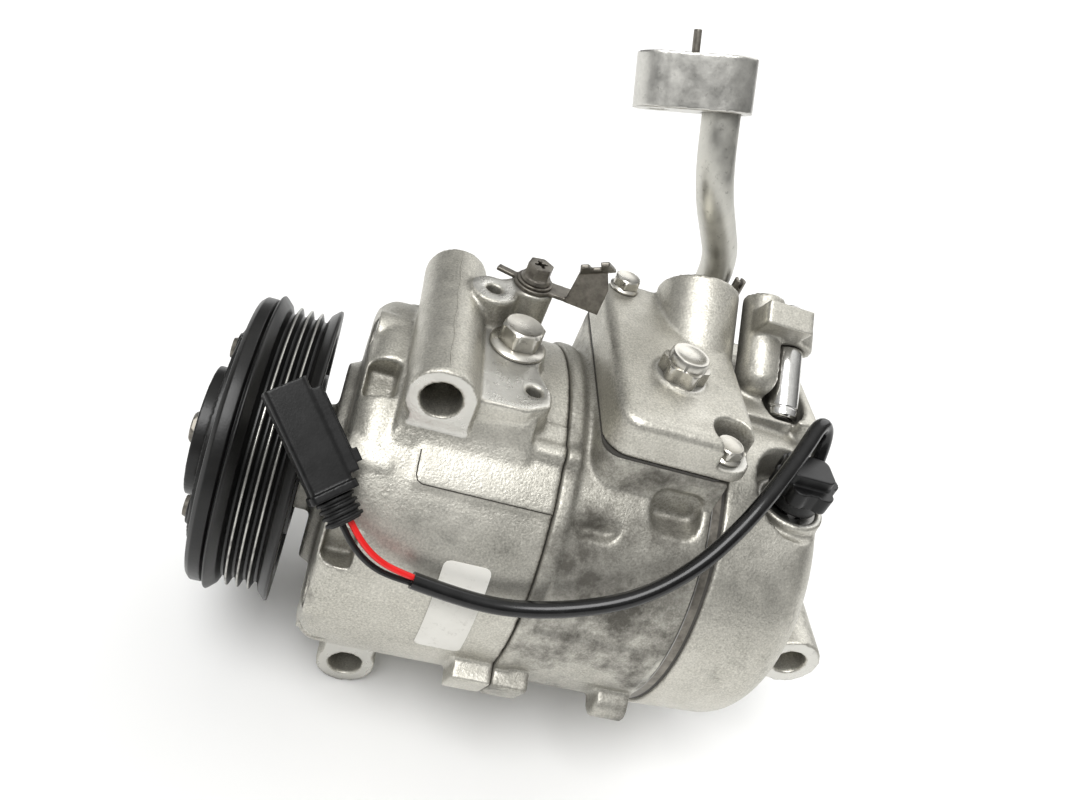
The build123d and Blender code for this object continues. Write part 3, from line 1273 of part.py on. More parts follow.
with BuildPart() as damper_rubbers:
    # one block per pocket between plate and pulley
    with BuildSketch(at_x(DAMPER_FRONT + DAMPER_T)):
        Circle(RIM_IN_R - 0.5)
        Circle(29, mode=Mode.SUBTRACT)
        with PolarLocations(36, DAMPER_BLOCKS, start_angle=10):
            Rectangle(18, 7, mode=Mode.SUBTRACT)
        with Locations(rivet_points):
            Circle(2.5, mode=Mode.SUBTRACT)
    extrude(amount=WEB_X0 - DAMPER_FRONT - DAMPER_T)
damper_rubbers.part.label = "damper_rubbers"
export_step(damper_rubbers.part, "parts/damper_rubbers.step")

with BuildPart() as damper_rivets:
    with BuildSketch(at_x(DAMPER_FRONT - 1.2)):
        with Locations(rivet_points):
            Circle(2.5)
    extrude(amount=7)
    with BuildSketch(at_x(DAMPER_FRONT - 1.2)):
        with Locations(rivet_points):
            Circle(3.8)
    extrude(amount=-1.4, taper=20)
damper_rivets.part.label = "damper_rivets"
export_step(damper_rivets.part, "parts/damper_rivets.step")

with BuildPart() as hub_plate:
    # disc, sleeve on the shaft's neck, and the washer face under the bolt
    ring(HUB_FRONT, 4.3, HUB_R, 9)
    ring(HUB_FRONT + 1.5, SHAFT_FRONT - HUB_FRONT - 1.5, 9, 3)
    ring(HUB_FRONT + 4.3, SHAFT_NECK_X - 0.5 - HUB_FRONT - 4.3, 10, SHAFT_NECK_R)
hub_plate.part.label = "hub_plate"
export_step(hub_plate.part, "parts/hub_plate.step")

with BuildPart() as hub_bolt:
    with BuildSketch(at_x(HUB_FRONT + 1.5)):
        Circle(3)
    extrude(amount=17)
    with BuildSketch(at_x(HUB_FRONT + 1.5)):
        Circle(6.8)
    extrude(amount=-1.4)
    with BuildSketch(at_x(HUB_FRONT + 0.1)):
        RegularPolygon(5, 6, major_radius=False)
    extrude(amount=-4)
hub_bolt.part.label = "hub_bolt"
export_step(hub_bolt.part, "parts/hub_bolt.step")
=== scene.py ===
"""Studio scene of a car's air-conditioning compressor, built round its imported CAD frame.

Metres throughout, in the CAD's frame: the shaft lies along X with the pulley at the low end,
and the machined pad and the muffler cover face +Z.
"""
import json
import math

import bmesh
import bpy
from mathutils import Matrix, Vector

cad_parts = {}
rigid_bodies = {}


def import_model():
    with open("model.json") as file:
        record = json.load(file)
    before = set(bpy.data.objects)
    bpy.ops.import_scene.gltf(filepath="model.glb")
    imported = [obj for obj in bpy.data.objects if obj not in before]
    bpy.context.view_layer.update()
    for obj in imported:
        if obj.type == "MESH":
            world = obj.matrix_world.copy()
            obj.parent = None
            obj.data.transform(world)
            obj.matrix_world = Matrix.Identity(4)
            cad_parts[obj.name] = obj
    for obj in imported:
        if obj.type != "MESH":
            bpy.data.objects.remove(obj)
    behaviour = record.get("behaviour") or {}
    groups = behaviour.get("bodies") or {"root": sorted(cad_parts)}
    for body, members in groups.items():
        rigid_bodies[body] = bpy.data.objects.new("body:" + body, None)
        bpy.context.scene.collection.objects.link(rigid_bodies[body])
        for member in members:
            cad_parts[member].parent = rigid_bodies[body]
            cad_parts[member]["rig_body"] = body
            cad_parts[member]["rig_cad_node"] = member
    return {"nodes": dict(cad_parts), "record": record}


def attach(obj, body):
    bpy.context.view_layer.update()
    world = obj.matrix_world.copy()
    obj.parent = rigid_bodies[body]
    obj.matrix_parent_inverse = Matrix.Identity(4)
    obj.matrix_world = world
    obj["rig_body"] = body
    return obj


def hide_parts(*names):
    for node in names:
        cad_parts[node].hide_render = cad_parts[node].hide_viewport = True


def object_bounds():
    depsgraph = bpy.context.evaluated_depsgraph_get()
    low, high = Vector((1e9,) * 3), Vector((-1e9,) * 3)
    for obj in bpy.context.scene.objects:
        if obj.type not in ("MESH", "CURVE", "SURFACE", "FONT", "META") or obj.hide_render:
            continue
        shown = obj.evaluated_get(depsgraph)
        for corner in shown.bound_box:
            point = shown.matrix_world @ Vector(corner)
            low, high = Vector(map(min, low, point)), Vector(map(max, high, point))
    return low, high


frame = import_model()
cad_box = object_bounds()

MM = 0.001
NODES = frame["nodes"]
BODY_OF = {node["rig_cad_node"]: node["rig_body"] for node in NODES.values()}
SLOT_OF = {part["node"]: part["material_slot"] for part in frame["record"]["subparts"]}

# ---------------------------------------------------------------- camera and cords
CAMERA_AT = Vector((0.0165, -0.2337, 0.2184))
CAMERA_BACK = Vector((-0.208, -0.790, 0.576)).normalized()
CAMERA_RIGHT = Vector((0.945, -0.010, 0.328))
LENS_MM = 29.75
NEAREST = 0.01


def add_camera():
    up = CAMERA_BACK.cross(CAMERA_RIGHT).normalized()
    right = up.cross(CAMERA_BACK)
    camera = bpy.data.objects.new("camera", bpy.data.cameras.new("camera"))
    camera.data.lens = LENS_MM
    camera.data.clip_start = NEAREST
    turn = Matrix((right, up, CAMERA_BACK)).transposed().to_4x4()
    camera.matrix_world = Matrix.Translation(CAMERA_AT) @ turn
    bpy.context.scene.collection.objects.link(camera)
    bpy.context.scene.camera = camera


# routes in millimetres, as in the CAD: the sleeve from the control valve to its cut end, then the two
# wires from there into the plug's boot
SLEEVE_ROUTE = [(174.2, -11.8, 62.5), (174.6, -7.4, 71.2), (168.6, -9.3, 77), (161.9, -20.3, 70.6),
                (150, -36.7, 62.4), (142.3, -45.5, 53.6), (132.3, -54, 43.1), (119.8, -59.5, 32.3),
                (106.3, -62.3, 25.2), (86.5, -63.6, 18.3), (67.5, -63.9, 17.2), (49.6, -63.2, 20.4)]
RED_ROUTE = [(49.66, -63.2, 21.6), (43, -63.6, 23.6), (37.2, -63.5, 26.8), (32.3, -62.6, 31),
             (27.95, -60.2, 35.35), (25.15, -57.85, 37.95)]
BLACK_ROUTE = [(49.24, -63.2, 19.25), (42.3, -64, 20.9), (35.8, -64, 24.2), (30.3, -63.3, 29.2),
               (26.15, -61.4, 34.35), (23.35, -59.05, 36.95)]
SLEEVE_R, SLEEVE_LENGTH = 2.6, 174.7
WIRE_R, RED_LENGTH, BLACK_LENGTH = 0.95, 31.1, 33.2


def cord_curve(name, route, radius):
    """Round cord along a smooth NURBS line that has the route as its control points."""
    curve = bpy.data.curves.new(name, "CURVE")
    curve.dimensions = "3D"
    curve.bevel_depth = radius * MM
    curve.bevel_resolution = 8
    curve.resolution_u = 16
    curve.use_fill_caps = True
    spline = curve.splines.new("NURBS")
    spline.points.add(len(route) - 1)
    for point, place in zip(spline.points, route):
        point.co = (*(Vector(place) * MM), 1)
    spline.order_u = 3
    spline.use_endpoint_u = True
    piece = bpy.data.objects.new(name, curve)
    bpy.context.scene.collection.objects.link(piece)
    return piece


# ---------------------------------------------------------------- shaders
PLANE_SLACK = 0.35 * MM     # how far a face may lie from its machined plane
PLANE_FACING = 0.94         # and how squarely it faces along the axis


class Surface:
    """A Principled material and its node tree, in the CAD frame's coordinates."""

    def __init__(self, name, **sockets):
        self.material = bpy.data.materials.new(name)
        self.material.use_nodes = True
        self.tree = self.material.node_tree
        self.shader = self.tree.nodes["Principled BSDF"]
        for socket, value in sockets.items():
            self.set(socket.replace("_", " ").title(), value)
        self.place = self.add("ShaderNodeTexCoord").outputs["Object"]

    def set(self, socket, value):
        """Sets or links a socket of the Principled shader."""
        self.feed(self.shader.inputs[socket], value)

    def feed(self, socket, value):
        if isinstance(value, bpy.types.NodeSocket):
            self.tree.links.new(value, socket)
        elif isinstance(value, tuple) and len(value) == 3 and len(socket.default_value) == 4:
            socket.default_value = (*value, 1)
        else:
            socket.default_value = value

    def add(self, kind, inputs=(), **settings):
        node = self.tree.nodes.new(kind)
        for name, value in settings.items():
            setattr(node, name, value)
        for name, value in dict(inputs).items():
            self.feed(node.inputs[name], value)
        return node

    def noise(self, scale, detail=4.0, roughness=0.55, at=None):
        return self.add("ShaderNodeTexNoise", {"Vector": at or self.place, "Scale": scale, "Detail": detail,
                                               "Roughness": roughness}).outputs["Fac"]

    def stretched(self, scale):
        """Coordinates scaled unevenly, for streaks."""
        return self.add("ShaderNodeMapping", {"Vector": self.place, "Scale": scale}).outputs["Vector"]

    def math(self, operation, *values):
        node = self.add("ShaderNodeMath", operation=operation)
        for socket, value in zip(node.inputs, values):
            self.feed(socket, value)
        return node.outputs[0]

    def span(self, value, low, high, to_low=0.0, to_high=1.0):
        """Value clamped and mapped from one range to another."""
        return self.add("ShaderNodeMapRange", {"Value": value, "From Min": low, "From Max": high,
                                               "To Min": to_low, "To Max": to_high}).outputs["Result"]

    def mix(self, share, a, b, blend="MIX"):
        node = self.add("ShaderNodeMix", data_type="RGBA", blend_type=blend)
        self.feed(node.inputs[0], share)
        self.feed(node.inputs[6], a)
        self.feed(node.inputs[7], b)
        return node.outputs[2]

    def bump(self, height, distance, strength=1.0, under=None):
        inputs = {"Height": height, "Distance": distance, "Strength": strength}
        if under is not None:
            inputs["Normal"] = under
        return self.add("ShaderNodeBump", inputs).outputs["Normal"]

    def part_of_place(self, axis):
        """One coordinate of the place, in metres."""
        return self.add("ShaderNodeSeparateXYZ", {"Vector": self.place}).outputs[axis]

    def corner_shade(self, distance):
        """Ambient occlusion as a mask for painted shade: 1 in corners and gaps narrower than the distance, 0
        in the open.
        """
        shade = self.add("ShaderNodeAmbientOcclusion", {"Distance": distance}, samples=4).outputs["AO"]
        return self.span(shade, 0.35, 0.9, 1.0, 0.0)

    def near_plane(self, axis, value):
        """1 on faces that lie in a machined plane across the axis."""
        along = self.part_of_place(axis)
        close = self.math("COMPARE", along, value, PLANE_SLACK)
        normal = self.add("ShaderNodeNewGeometry").outputs["Normal"]
        facing = self.add("ShaderNodeSeparateXYZ", {"Vector": normal}).outputs[axis]
        flat = self.math("GREATER_THAN", self.math("ABSOLUTE", facing), PLANE_FACING)
        return self.math("MULTIPLY", close, flat)

    def round_shaft(self):
        """Distance from the shaft's axis."""
        parts = self.add("ShaderNodeSeparateXYZ", {"Vector": self.place})
        squares = [self.math("POWER", parts.outputs[axis], 2.0) for axis in ("Y", "Z")]
        return self.math("SQRT", self.math("ADD", *squares))


CAST_LIGHT = (0.53, 0.515, 0.465)
CAST_DARK = (0.31, 0.30, 0.262)
# colour of real stains and dirt spots, and of painted shade in corners
GRIME_AND_SHADE = (0.05, 0.044, 0.034)
MACHINED = (0.62, 0.61, 0.57)
# the third steel colour is painted shade for the steel's corners
STEEL_DARK, STEEL_RUSTED, STEEL_CORNER_SHADE = (0.12, 0.11, 0.095), (0.30, 0.28, 0.245), (0.05, 0.038, 0.028)
COAT_BLACK, COAT_DUSTY, COAT_WORN = (0.0035, 0.0035, 0.0035), (0.010, 0.0095, 0.009), (0.50, 0.49, 0.46)
FILM_CLEAN, FILM_AGED, FILM_SCUFFED = (0.80, 0.785, 0.735), (0.70, 0.685, 0.63), (0.36, 0.34, 0.29)
CAST_SHADE_CORNER, FINE_SHADE_CORNER = 0.007, 0.003     # how narrow a corner has to be to get painted shade, in metres


def cast_metal(name, darkening, planes=(), tone=1.0):
    """Sand-cast aluminium: grainy, mottled and stained, with painted shade in its corners and brighter
    machined faces on the given planes.
    """
    s = Surface(name, Metallic=0.9)
    light = tuple(c * tone for c in CAST_LIGHT)
    dark = tuple(c * tone for c in CAST_DARK)
    colour = s.mix(s.span(s.noise(28.0, 3.0), 0.35, 0.68), dark, light)
    speckle = s.span(s.noise(1500.0, 2.0, 0.7), 0.3, 0.72)
    glint = tuple(min(1.0, c * 1.5) for c in light)
    colour = s.mix(s.span(speckle, 0.0, 1.0, 0.0, 0.7), colour, glint)
    blotch = s.noise(75.0, 9.0, 0.72)
    drift = s.noise(14.0, 3.0, 0.6)
    patches = s.math("ADD", blotch, s.math("MULTIPLY", drift, 0.6))
    stain = s.span(patches, 1.02 - 0.3 * darkening, 1.16 - 0.2 * darkening)
    stain = s.math("MULTIPLY", stain, 0.35 + 0.5 * darkening)
    # painted shade: ambient occlusion darkens the corners, made uneven by the blotches; the next line joins
    # it to the real stains
    corner = s.math("MULTIPLY", s.corner_shade(CAST_SHADE_CORNER), s.span(blotch, 0.3, 0.6, 0.55, 1.0))
    dirt_and_shade = s.math("MAXIMUM", stain, s.math("MULTIPLY", corner, 0.8))
    mask = 0.0
    for axis, value in planes:
        mask = s.math("MAXIMUM", mask, s.near_plane(axis, value * MM))
    colour = s.mix(mask, colour, MACHINED)
    s.set("Base Color", s.mix(dirt_and_shade, colour, GRIME_AND_SHADE))
    s.set("Metallic", s.span(dirt_and_shade, 0.0, 1.0, 0.92, 0.45))
    rough = s.span(s.noise(160.0, 5.0), 0.3, 0.7, 0.36, 0.52)
    rough = s.math("SUBTRACT", rough, s.math("MULTIPLY", mask, 0.14))
    s.set("Roughness", s.math("ADD", rough, s.math("MULTIPLY", dirt_and_shade, 0.22)))
    grain = s.bump(s.noise(1250.0, 3.0, 0.6), 0.00022, 0.55)
    lumps = s.bump(s.noise(190.0, 4.0), 0.0005, 0.3, under=grain)
    s.set("Normal", lumps)
    return s.material


def turned_metal(name, colour, roughness, streak=(900.0, 900.0, 900.0), dirt_and_shade=0.25):
    """Machined, drawn or plated metal with fine tool marks, dulled in places, with dirt spots and painted
    shade in its corners.
    """
    s = Surface(name, Metallic=1.0)
    marks = s.noise(1.0, 3.0, 0.6, at=s.stretched(streak))
    wear = s.noise(130.0, 7.0, 0.65)
    tone = s.mix(s.span(wear, 0.35, 0.7), tuple(c * 0.72 for c in colour), colour)
    tone = s.mix(s.span(marks, 0.3, 0.7, 0.0, 0.25), tone, tuple(min(1.0, c * 1.25) for c in colour))
    # painted shade in the corners from ambient occlusion, joined in the next lines by real dirt spots
    darkening = s.math("MULTIPLY", s.corner_shade(FINE_SHADE_CORNER), dirt_and_shade * 2.2)
    spots = s.math("MULTIPLY", s.span(s.noise(420.0, 6.0, 0.7), 0.6, 0.68), dirt_and_shade)
    darkening = s.math("MAXIMUM", darkening, spots)
    s.set("Base Color", s.mix(darkening, tone, GRIME_AND_SHADE))
    s.set("Roughness", s.span(wear, 0.3, 0.75, roughness * 0.8, roughness * 1.45))
    s.set("Normal", s.bump(marks, 0.00006, 0.5))
    return s.material


def dark_steel(name):
    """Phosphated steel, brown where it has started to rust, with painted shade in its corners."""
    s = Surface(name, Metallic=0.85)
    age = s.noise(230.0, 7.0, 0.7)
    colour = s.mix(s.span(age, 0.35, 0.7), STEEL_DARK, STEEL_RUSTED)
    # painted shade: ambient occlusion darkens the corners
    colour = s.mix(s.math("MULTIPLY", s.corner_shade(FINE_SHADE_CORNER), 0.7), colour, STEEL_CORNER_SHADE)
    s.set("Base Color", colour)
    s.set("Roughness", s.span(age, 0.3, 0.7, 0.3, 0.52))
    s.set("Normal", s.bump(s.noise(900.0, 4.0), 0.00012, 0.4))
    return s.material


def black_coating(name, worn_radius=None, worn_half=0.0):
    """Black electrocoat with dust, rubbed bright on the tips of the belt ridges."""
    s = Surface(name)
    s.shader.inputs["Specular IOR Level"].default_value = 0.4
    dust = s.noise(60.0, 6.0, 0.65)
    fine = s.noise(1400.0, 2.0)
    colour = s.mix(s.span(dust, 0.4, 0.75), COAT_BLACK, COAT_DUSTY)
    rough = s.span(dust, 0.3, 0.7, 0.28, 0.42)
    if worn_radius:
        inside = s.math("LESS_THAN", s.math("ABSOLUTE", s.part_of_place("X")), worn_half)
        rim = s.span(s.round_shaft(), worn_radius - 0.0005, worn_radius - 0.0001)
        uneven = s.span(s.noise(240.0, 4.0), 0.3, 0.55, 0.35, 1.0)
        tips = s.math("MULTIPLY", s.math("MULTIPLY", rim, inside), uneven)
        colour = s.mix(tips, colour, COAT_WORN)
        s.set("Metallic", tips)
        rough = s.math("SUBTRACT", rough, s.math("MULTIPLY", tips, 0.05))
    s.set("Base Color", colour)
    s.set("Roughness", rough)
    s.set("Normal", s.bump(fine, 0.00008, 0.35))
    return s.material


def moulded(name, colour, roughness, grain=900.0, dusty=0.4, coat=0.0):
    """Moulded rubber or plastic: fine grain, a little dust and uneven sheen."""
    s = Surface(name, Coat_Weight=coat, Coat_Roughness=0.15)
    s.shader.inputs["Specular IOR Level"].default_value = 0.32
    dust = s.noise(150.0, 8.0, 0.7)
    pale = tuple(c * (1 + dusty) + 0.012 * dusty for c in colour)
    s.set("Base Color", s.mix(s.span(dust, 0.42, 0.75), colour, pale))
    s.set("Roughness", s.span(dust, 0.3, 0.7, roughness * 0.85, roughness * 1.2))
    s.set("Normal", s.bump(s.noise(grain, 3.0), 0.00009, 0.35))
    return s.material


def label_film(name):
    """Blank off-white film, scuffed and slightly soiled."""
    s = Surface(name)
    scuff = s.noise(260.0, 8.0, 0.75)
    colour = s.mix(s.span(s.noise(45.0, 4.0), 0.4, 0.7), FILM_CLEAN, FILM_AGED)
    colour = s.mix(s.math("MULTIPLY", s.span(scuff, 0.56, 0.7), 0.45), colour, FILM_SCUFFED)
    s.set("Base Color", colour)
    s.set("Roughness", s.span(scuff, 0.3, 0.7, 0.38, 0.6))
    s.set("Normal", s.bump(s.noise(500.0, 3.0), 0.00005, 0.3))
    return s.material


# by node where it has a finish of its own, otherwise by material slot; planes are in millimetres
ALONG_X = (60.0, 1500.0, 1500.0)
RIDGE_R, RIDGES_HALF = 48.9, 5.4      # the belt ridges' radius and half their width, in millimetres
MATERIALS = {
    "front_housing": cast_metal("front_casting", 0.25, (("Z", 66.0), ("Z", 76.0), ("Y", -34.0), ("X", 16.6))),
    "cylinder_block": cast_metal("block_casting", 0.95, tone=0.86),
    "rear_housing": cast_metal("rear_casting", 0.45, (("Z", 50.0), ("Y", -34.0)), tone=0.95),
    "muffler_cover": cast_metal("cover_casting", 0.35, (("Z", 66.0), ("Z", 76.3)), tone=0.98),
    "machined_aluminium": turned_metal("milled_aluminium", (0.70, 0.69, 0.65), 0.34),
    "pipe_aluminium": turned_metal("drawn_aluminium", (0.66, 0.65, 0.60), 0.40, (160.0, 160.0, 40.0), 0.35),
    "zinc_steel": turned_metal("plated_steel", (0.66, 0.64, 0.585), 0.27, (700.0, 700.0, 700.0), 0.3),
    "bearing_steel": turned_metal("ground_steel", (0.58, 0.58, 0.58), 0.25, ALONG_X),
    "polished_steel": turned_metal("bright_steel", (0.82, 0.81, 0.79), 0.15, (1800.0, 300.0, 300.0), 0.1),
    "spring_steel": turned_metal("rolled_steel", (0.36, 0.355, 0.34), 0.38, ALONG_X),
    "dark_steel": dark_steel("phosphated_steel"),
    "black_paint": black_coating("black_electrocoat"),
    "black_rubber": moulded("moulded_rubber", (0.006, 0.006, 0.006), 0.5, 1300.0),
    "black_plastic": moulded("moulded_plastic", (0.004, 0.004, 0.0042), 0.34, 1600.0),
    "black_sheath": moulded("sheath", (0.003, 0.003, 0.0032), 0.24, 500.0, coat=0.25),
    "red_insulation": moulded("red_insulation", (0.72, 0.012, 0.012), 0.32, 700.0, dusty=0.05, coat=0.2),
    "black_insulation": moulded("black_insulation", (0.004, 0.004, 0.0043), 0.28, 700.0, coat=0.2),
    "gasket_fibre": moulded("gasket_fibre", (0.05, 0.047, 0.042), 0.6, 1500.0),
    "label_film": label_film("label_film"),
}
# painted shade: near-black finish for the thin line along the panel's edge, where its groove is in shade
MATERIALS["panel_edge_shade"] = moulded("panel_edge_shade", (0.030, 0.027, 0.022), 0.7, 900.0)
MATERIALS["pulley"] = black_coating("belt_rim_electrocoat", RIDGE_R * MM, RIDGES_HALF * MM)


def finish_of(node):
    return MATERIALS.get(node) or MATERIALS[SLOT_OF[node]]


# ---------------------------------------------------------------- mesh helpers
SAME_PLACE = 1e-6           # vertices nearer than this are one, in metres
THINNEST = 1e-7             # and in a turned mesh, where rings come close together


def new_piece(name, mesh, node, *others):
    """A piece that stands for CAD nodes: it rides on their body and takes their finish."""
    piece = bpy.data.objects.new(name, mesh)
    bpy.context.scene.collection.objects.link(piece)
    stand_for(piece, node, *others)
    return piece


def stand_for(piece, node, *others):
    """Puts the piece in the nodes' place, on their body and in their finish."""
    piece.data.materials.clear()
    piece.data.materials.append(finish_of(node))
    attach(piece, BODY_OF[node])
    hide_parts(node, *others)


def smooth_shaded(mesh, sharp_deg=180.0):
    mesh.polygons.foreach_set("use_smooth", [True] * len(mesh.polygons))
    if sharp_deg < 180.0:
        mesh.set_sharp_from_angle(angle=math.radians(sharp_deg))


def cast_piece(node, voxel, rounds, keep=0.5):
    """The node's shape with every corner and edge rounded as a casting or moulding has them.

    voxel is the grain of the new mesh in millimetres, rounds how often it is smoothed, and keep
    the share of its triangles that stay.
    """
    mesh = NODES[node].data.copy()
    mesh.materials.clear()
    bm = bmesh.new()
    bm.from_mesh(mesh)
    bmesh.ops.remove_doubles(bm, verts=bm.verts, dist=SAME_PLACE)
    bm.to_mesh(mesh)
    bm.free()
    maker = bpy.data.objects.new("maker", mesh)
    bpy.context.scene.collection.objects.link(maker)
    remesh = maker.modifiers.new("voxels", "REMESH")
    remesh.mode = "VOXEL"
    remesh.voxel_size = voxel * MM
    soften = maker.modifiers.new("soften", "SMOOTH")
    soften.factor = 0.5
    soften.iterations = rounds
    thin = maker.modifiers.new("thin", "DECIMATE")
    thin.ratio = keep
    evaluated = maker.evaluated_get(bpy.context.evaluated_depsgraph_get())
    final = bpy.data.meshes.new_from_object(evaluated)
    bpy.data.objects.remove(maker)
    smooth_shaded(final)
    return new_piece(node + "_body", final, node)


def rounded_profile(points, radius, steps=3):
    """The closed outline with each corner cut by a small arc."""
    out = []
    count = len(points)
    for i, corner in enumerate(points):
        corner = Vector(corner)
        to_last = Vector(points[i - 1]) - corner
        to_next = Vector(points[(i + 1) % count]) - corner
        cut = min(radius, 0.4 * to_last.length, 0.4 * to_next.length)
        start = corner + to_last.normalized() * cut
        end = corner + to_next.normalized() * cut
        for k in range(steps + 1):
            t = k / steps
            out.append(start * (1 - t) ** 2 + corner * 2 * t * (1 - t) + end * t ** 2)
    return out


def lathed(profile, segments=160, limit=None):
    """Mesh of a closed outline of (along, radius) turned round the first axis, in millimetres.

    limit(angle) may hold the radius of points with a positive mark back to a hexagon or lobes.
    """
    bm = bmesh.new()
    rings = []
    for i in range(segments):
        angle = 2 * math.pi * i / segments
        ring = []
        for along, radius, *mark in profile:
            if limit and mark and mark[0]:
                radius = min(radius, limit(angle))
            across, up = radius * math.cos(angle) * MM, radius * math.sin(angle) * MM
            ring.append(bm.verts.new((along * MM, across, up)))
        rings.append(ring)
    for i, ring in enumerate(rings):
        after = rings[(i + 1) % segments]
        for j in range(len(ring)):
            k = (j + 1) % len(ring)
            bm.faces.new((ring[j], ring[k], after[k], after[j]))
    bmesh.ops.remove_doubles(bm, verts=bm.verts, dist=THINNEST)
    bmesh.ops.dissolve_degenerate(bm, edges=bm.edges, dist=THINNEST)
    bmesh.ops.recalc_face_normals(bm, faces=bm.faces)
    mesh = bpy.data.meshes.new("lathed")
    bm.to_mesh(mesh)
    bm.free()
    return mesh


def joined(name, meshes, node, *others, sharp_deg=35.0):
    """One piece from several meshes, standing for CAD nodes."""
    bm = bmesh.new()
    for mesh in meshes:
        bm.from_mesh(mesh)
    mesh = bpy.data.meshes.new(name)
    bm.to_mesh(mesh)
    bm.free()
    smooth_shaded(mesh, sharp_deg)
    return new_piece(name, mesh, node, *others)


def placed(mesh, at, axis, spin=0.0):
    """The lathed mesh with its own X axis along a direction, its origin at a point in millimetres."""
    turn = Vector((1, 0, 0)).rotation_difference(Vector(axis)).to_matrix().to_4x4()
    mesh.transform(Matrix.Translation(Vector(at) * MM) @ turn @ Matrix.Rotation(spin, 4, "X"))
    return mesh


# ---------------------------------------------------------------- screws
ROUND_BOLT = 144            # faces round a bolt
CORNER_EASE = 1.12          # a hexagon's eased corner against half its width


def hexagon(across):
    """Radius of a hexagon of that width across its flats, by angle, with slightly eased corners."""
    def limit(angle):
        off = (angle + math.pi / 6) % (math.pi / 3) - math.pi / 6
        return min(across / 2 / math.cos(off), across / 2 * CORNER_EASE)
    return limit


def hex_bolt(across, head, flange_r, flange_h, shank_r, shank_l, dish=0.5):
    """Flanged hexagon bolt along +X, its seat at the origin, with a chamfered and dished head."""
    top_r = across / 2 * 0.93
    corner_r = across / 2 * 1.15
    profile = [(-shank_l, 0), (-shank_l, shank_r), (0, shank_r), (0, flange_r - 0.3), (0.3, flange_r),
               (flange_h * 0.55, flange_r), (flange_h, flange_r - 0.9), (flange_h + 0.35, corner_r, 1),
               (head - 0.9, corner_r, 1), (head - 0.45, (corner_r + top_r) / 2, 1), (head, top_r, 1),
               (head - 0.1, top_r - 0.5), (head - dish, top_r * 0.72), (head - dish, 0)]
    return lathed(profile, ROUND_BOLT, hexagon(across))


UP, FRONT, FAR_SIDE = (0, 0, 1), (-1, 0, 0), (0, 1, 0)

# where each head sits, in millimetres
PAD_BOLT_AT = (66.2, 1.4, 66)
MUFFLER_BOLTS = [((103.5, 43, 75.5), 24.5), ((134.6, -27, 66), 15)]     # seat, and the shank's length
PLUG_AT = (118.5, -4.5, 76.3)
FOOT_BOLT_AT = (128, 71, 53)
HUB_BOLT_AT = (-23.3, 0, 0)

LOBE_R, LOBE_DEPTH, LOBES = 7.5, 0.75, 6     # notched skirt of the centre plug


def lobed_skirt(angle):
    return LOBE_R + LOBE_DEPTH * math.cos(LOBES * angle)


def centre_plug():
    """Big plug of the muffler cover: a notched skirt under a round raised head."""
    outline = [(-20, 0), (-20, 2.5), (0, 2.5), (0, 8.4, 1), (4.6, 8.4, 1), (5.2, 7.9, 1), (5.4, 6.6),
               (7.6, 6.5), (8.3, 6.0), (8.3, 4.6), (8.15, 4.4), (8.15, 0)]
    return lathed(outline, ROUND_BOLT, lobed_skirt)


def add_screws():
    pad_bolt = hex_bolt(across=13, head=8.5, flange_r=9.5, flange_h=1.9, shank_r=4, shank_l=9)
    joined("pad_bolt_body", [placed(pad_bolt, PAD_BOLT_AT, UP, 0.2)], "pad_bolt")

    corner_bolts = []
    for at, length in MUFFLER_BOLTS:
        bolt = hex_bolt(across=9, head=5, flange_r=5.4, flange_h=1.6, shank_r=2.5, shank_l=length, dish=0.35)
        corner_bolts.append(placed(bolt, at, UP, 0.3))
    joined("muffler_bolts_body", corner_bolts, "muffler_bolts")

    foot_bolt = hex_bolt(across=9, head=5, flange_r=5.2, flange_h=1.4, shank_r=2.6, shank_l=20)
    joined("pipe_foot_bolt_body", [placed(foot_bolt, FOOT_BOLT_AT, FAR_SIDE)], "pipe_foot_bolt")

    hub_bolt = hex_bolt(across=10, head=5.3, flange_r=6.8, flange_h=1.4, shank_r=3, shank_l=15, dish=0.6)
    joined("hub_bolt_body", [placed(hub_bolt, HUB_BOLT_AT, FRONT, 0.4)], "hub_bolt")

    joined("muffler_plug_body", [placed(centre_plug(), PLUG_AT, UP, 0.2)], "muffler_centre_bolt",
           sharp_deg=40.0)


# ---------------------------------------------------------------- turned pieces
GROOVES, GROOVE_PITCH, VALLEY_R = 4, 3.56, 46.1
VALLEY_HALF, GROOVE_SLOPE = 0.5, 1.03       # half the valley's flat, and the run of each groove side
RIM_INSIDE, HUB_R, LIP_R, BEARING_R = 43.5, 28.5, 25.2, 26.0
PULLEY_FACES = 220


def belt_outline():
    """Outline of the belt grooves between the flanges, X against radius."""
    out = []
    for groove in range(GROOVES):
        middle = (groove - (GROOVES - 1) / 2) * GROOVE_PITCH
        out += [(middle - VALLEY_HALF - GROOVE_SLOPE, RIDGE_R), (middle - VALLEY_HALF, VALLEY_R),
                (middle + VALLEY_HALF, VALLEY_R), (middle + VALLEY_HALF + GROOVE_SLOPE, RIDGE_R)]
    return out


def add_pulley():
    """Pulley turned from its section, X against radius: rim, flanges and grooves, then web and hub."""
    front = [(-16.5, RIM_INSIDE), (-16.5, 48), (-15, 49.5), (-11.6, 49.5), (-10.8, 48.3), (-10.3, 51),
             (-9.7, 51.4), (-9.1, 51)]
    back = [(9, 51), (9.5, 51.4), (10.4, 51.2), (10.4, RIM_INSIDE), (-1, RIM_INSIDE)]
    hub = [(-1, HUB_R), (11, HUB_R), (11, LIP_R), (9.4, LIP_R), (9.4, BEARING_R), (-11, BEARING_R),
           (-11, HUB_R), (-6, HUB_R), (-6, RIM_INSIDE)]
    mesh = lathed(rounded_profile([*front, *belt_outline(), *back, *hub], 0.35), PULLEY_FACES)
    joined("pulley_body", [mesh], "pulley", sharp_deg=50.0)


RELIEF_AT, RELIEF_TILT = (167, 10, 60), math.radians(35)    # its low end, and its lean up from +Y


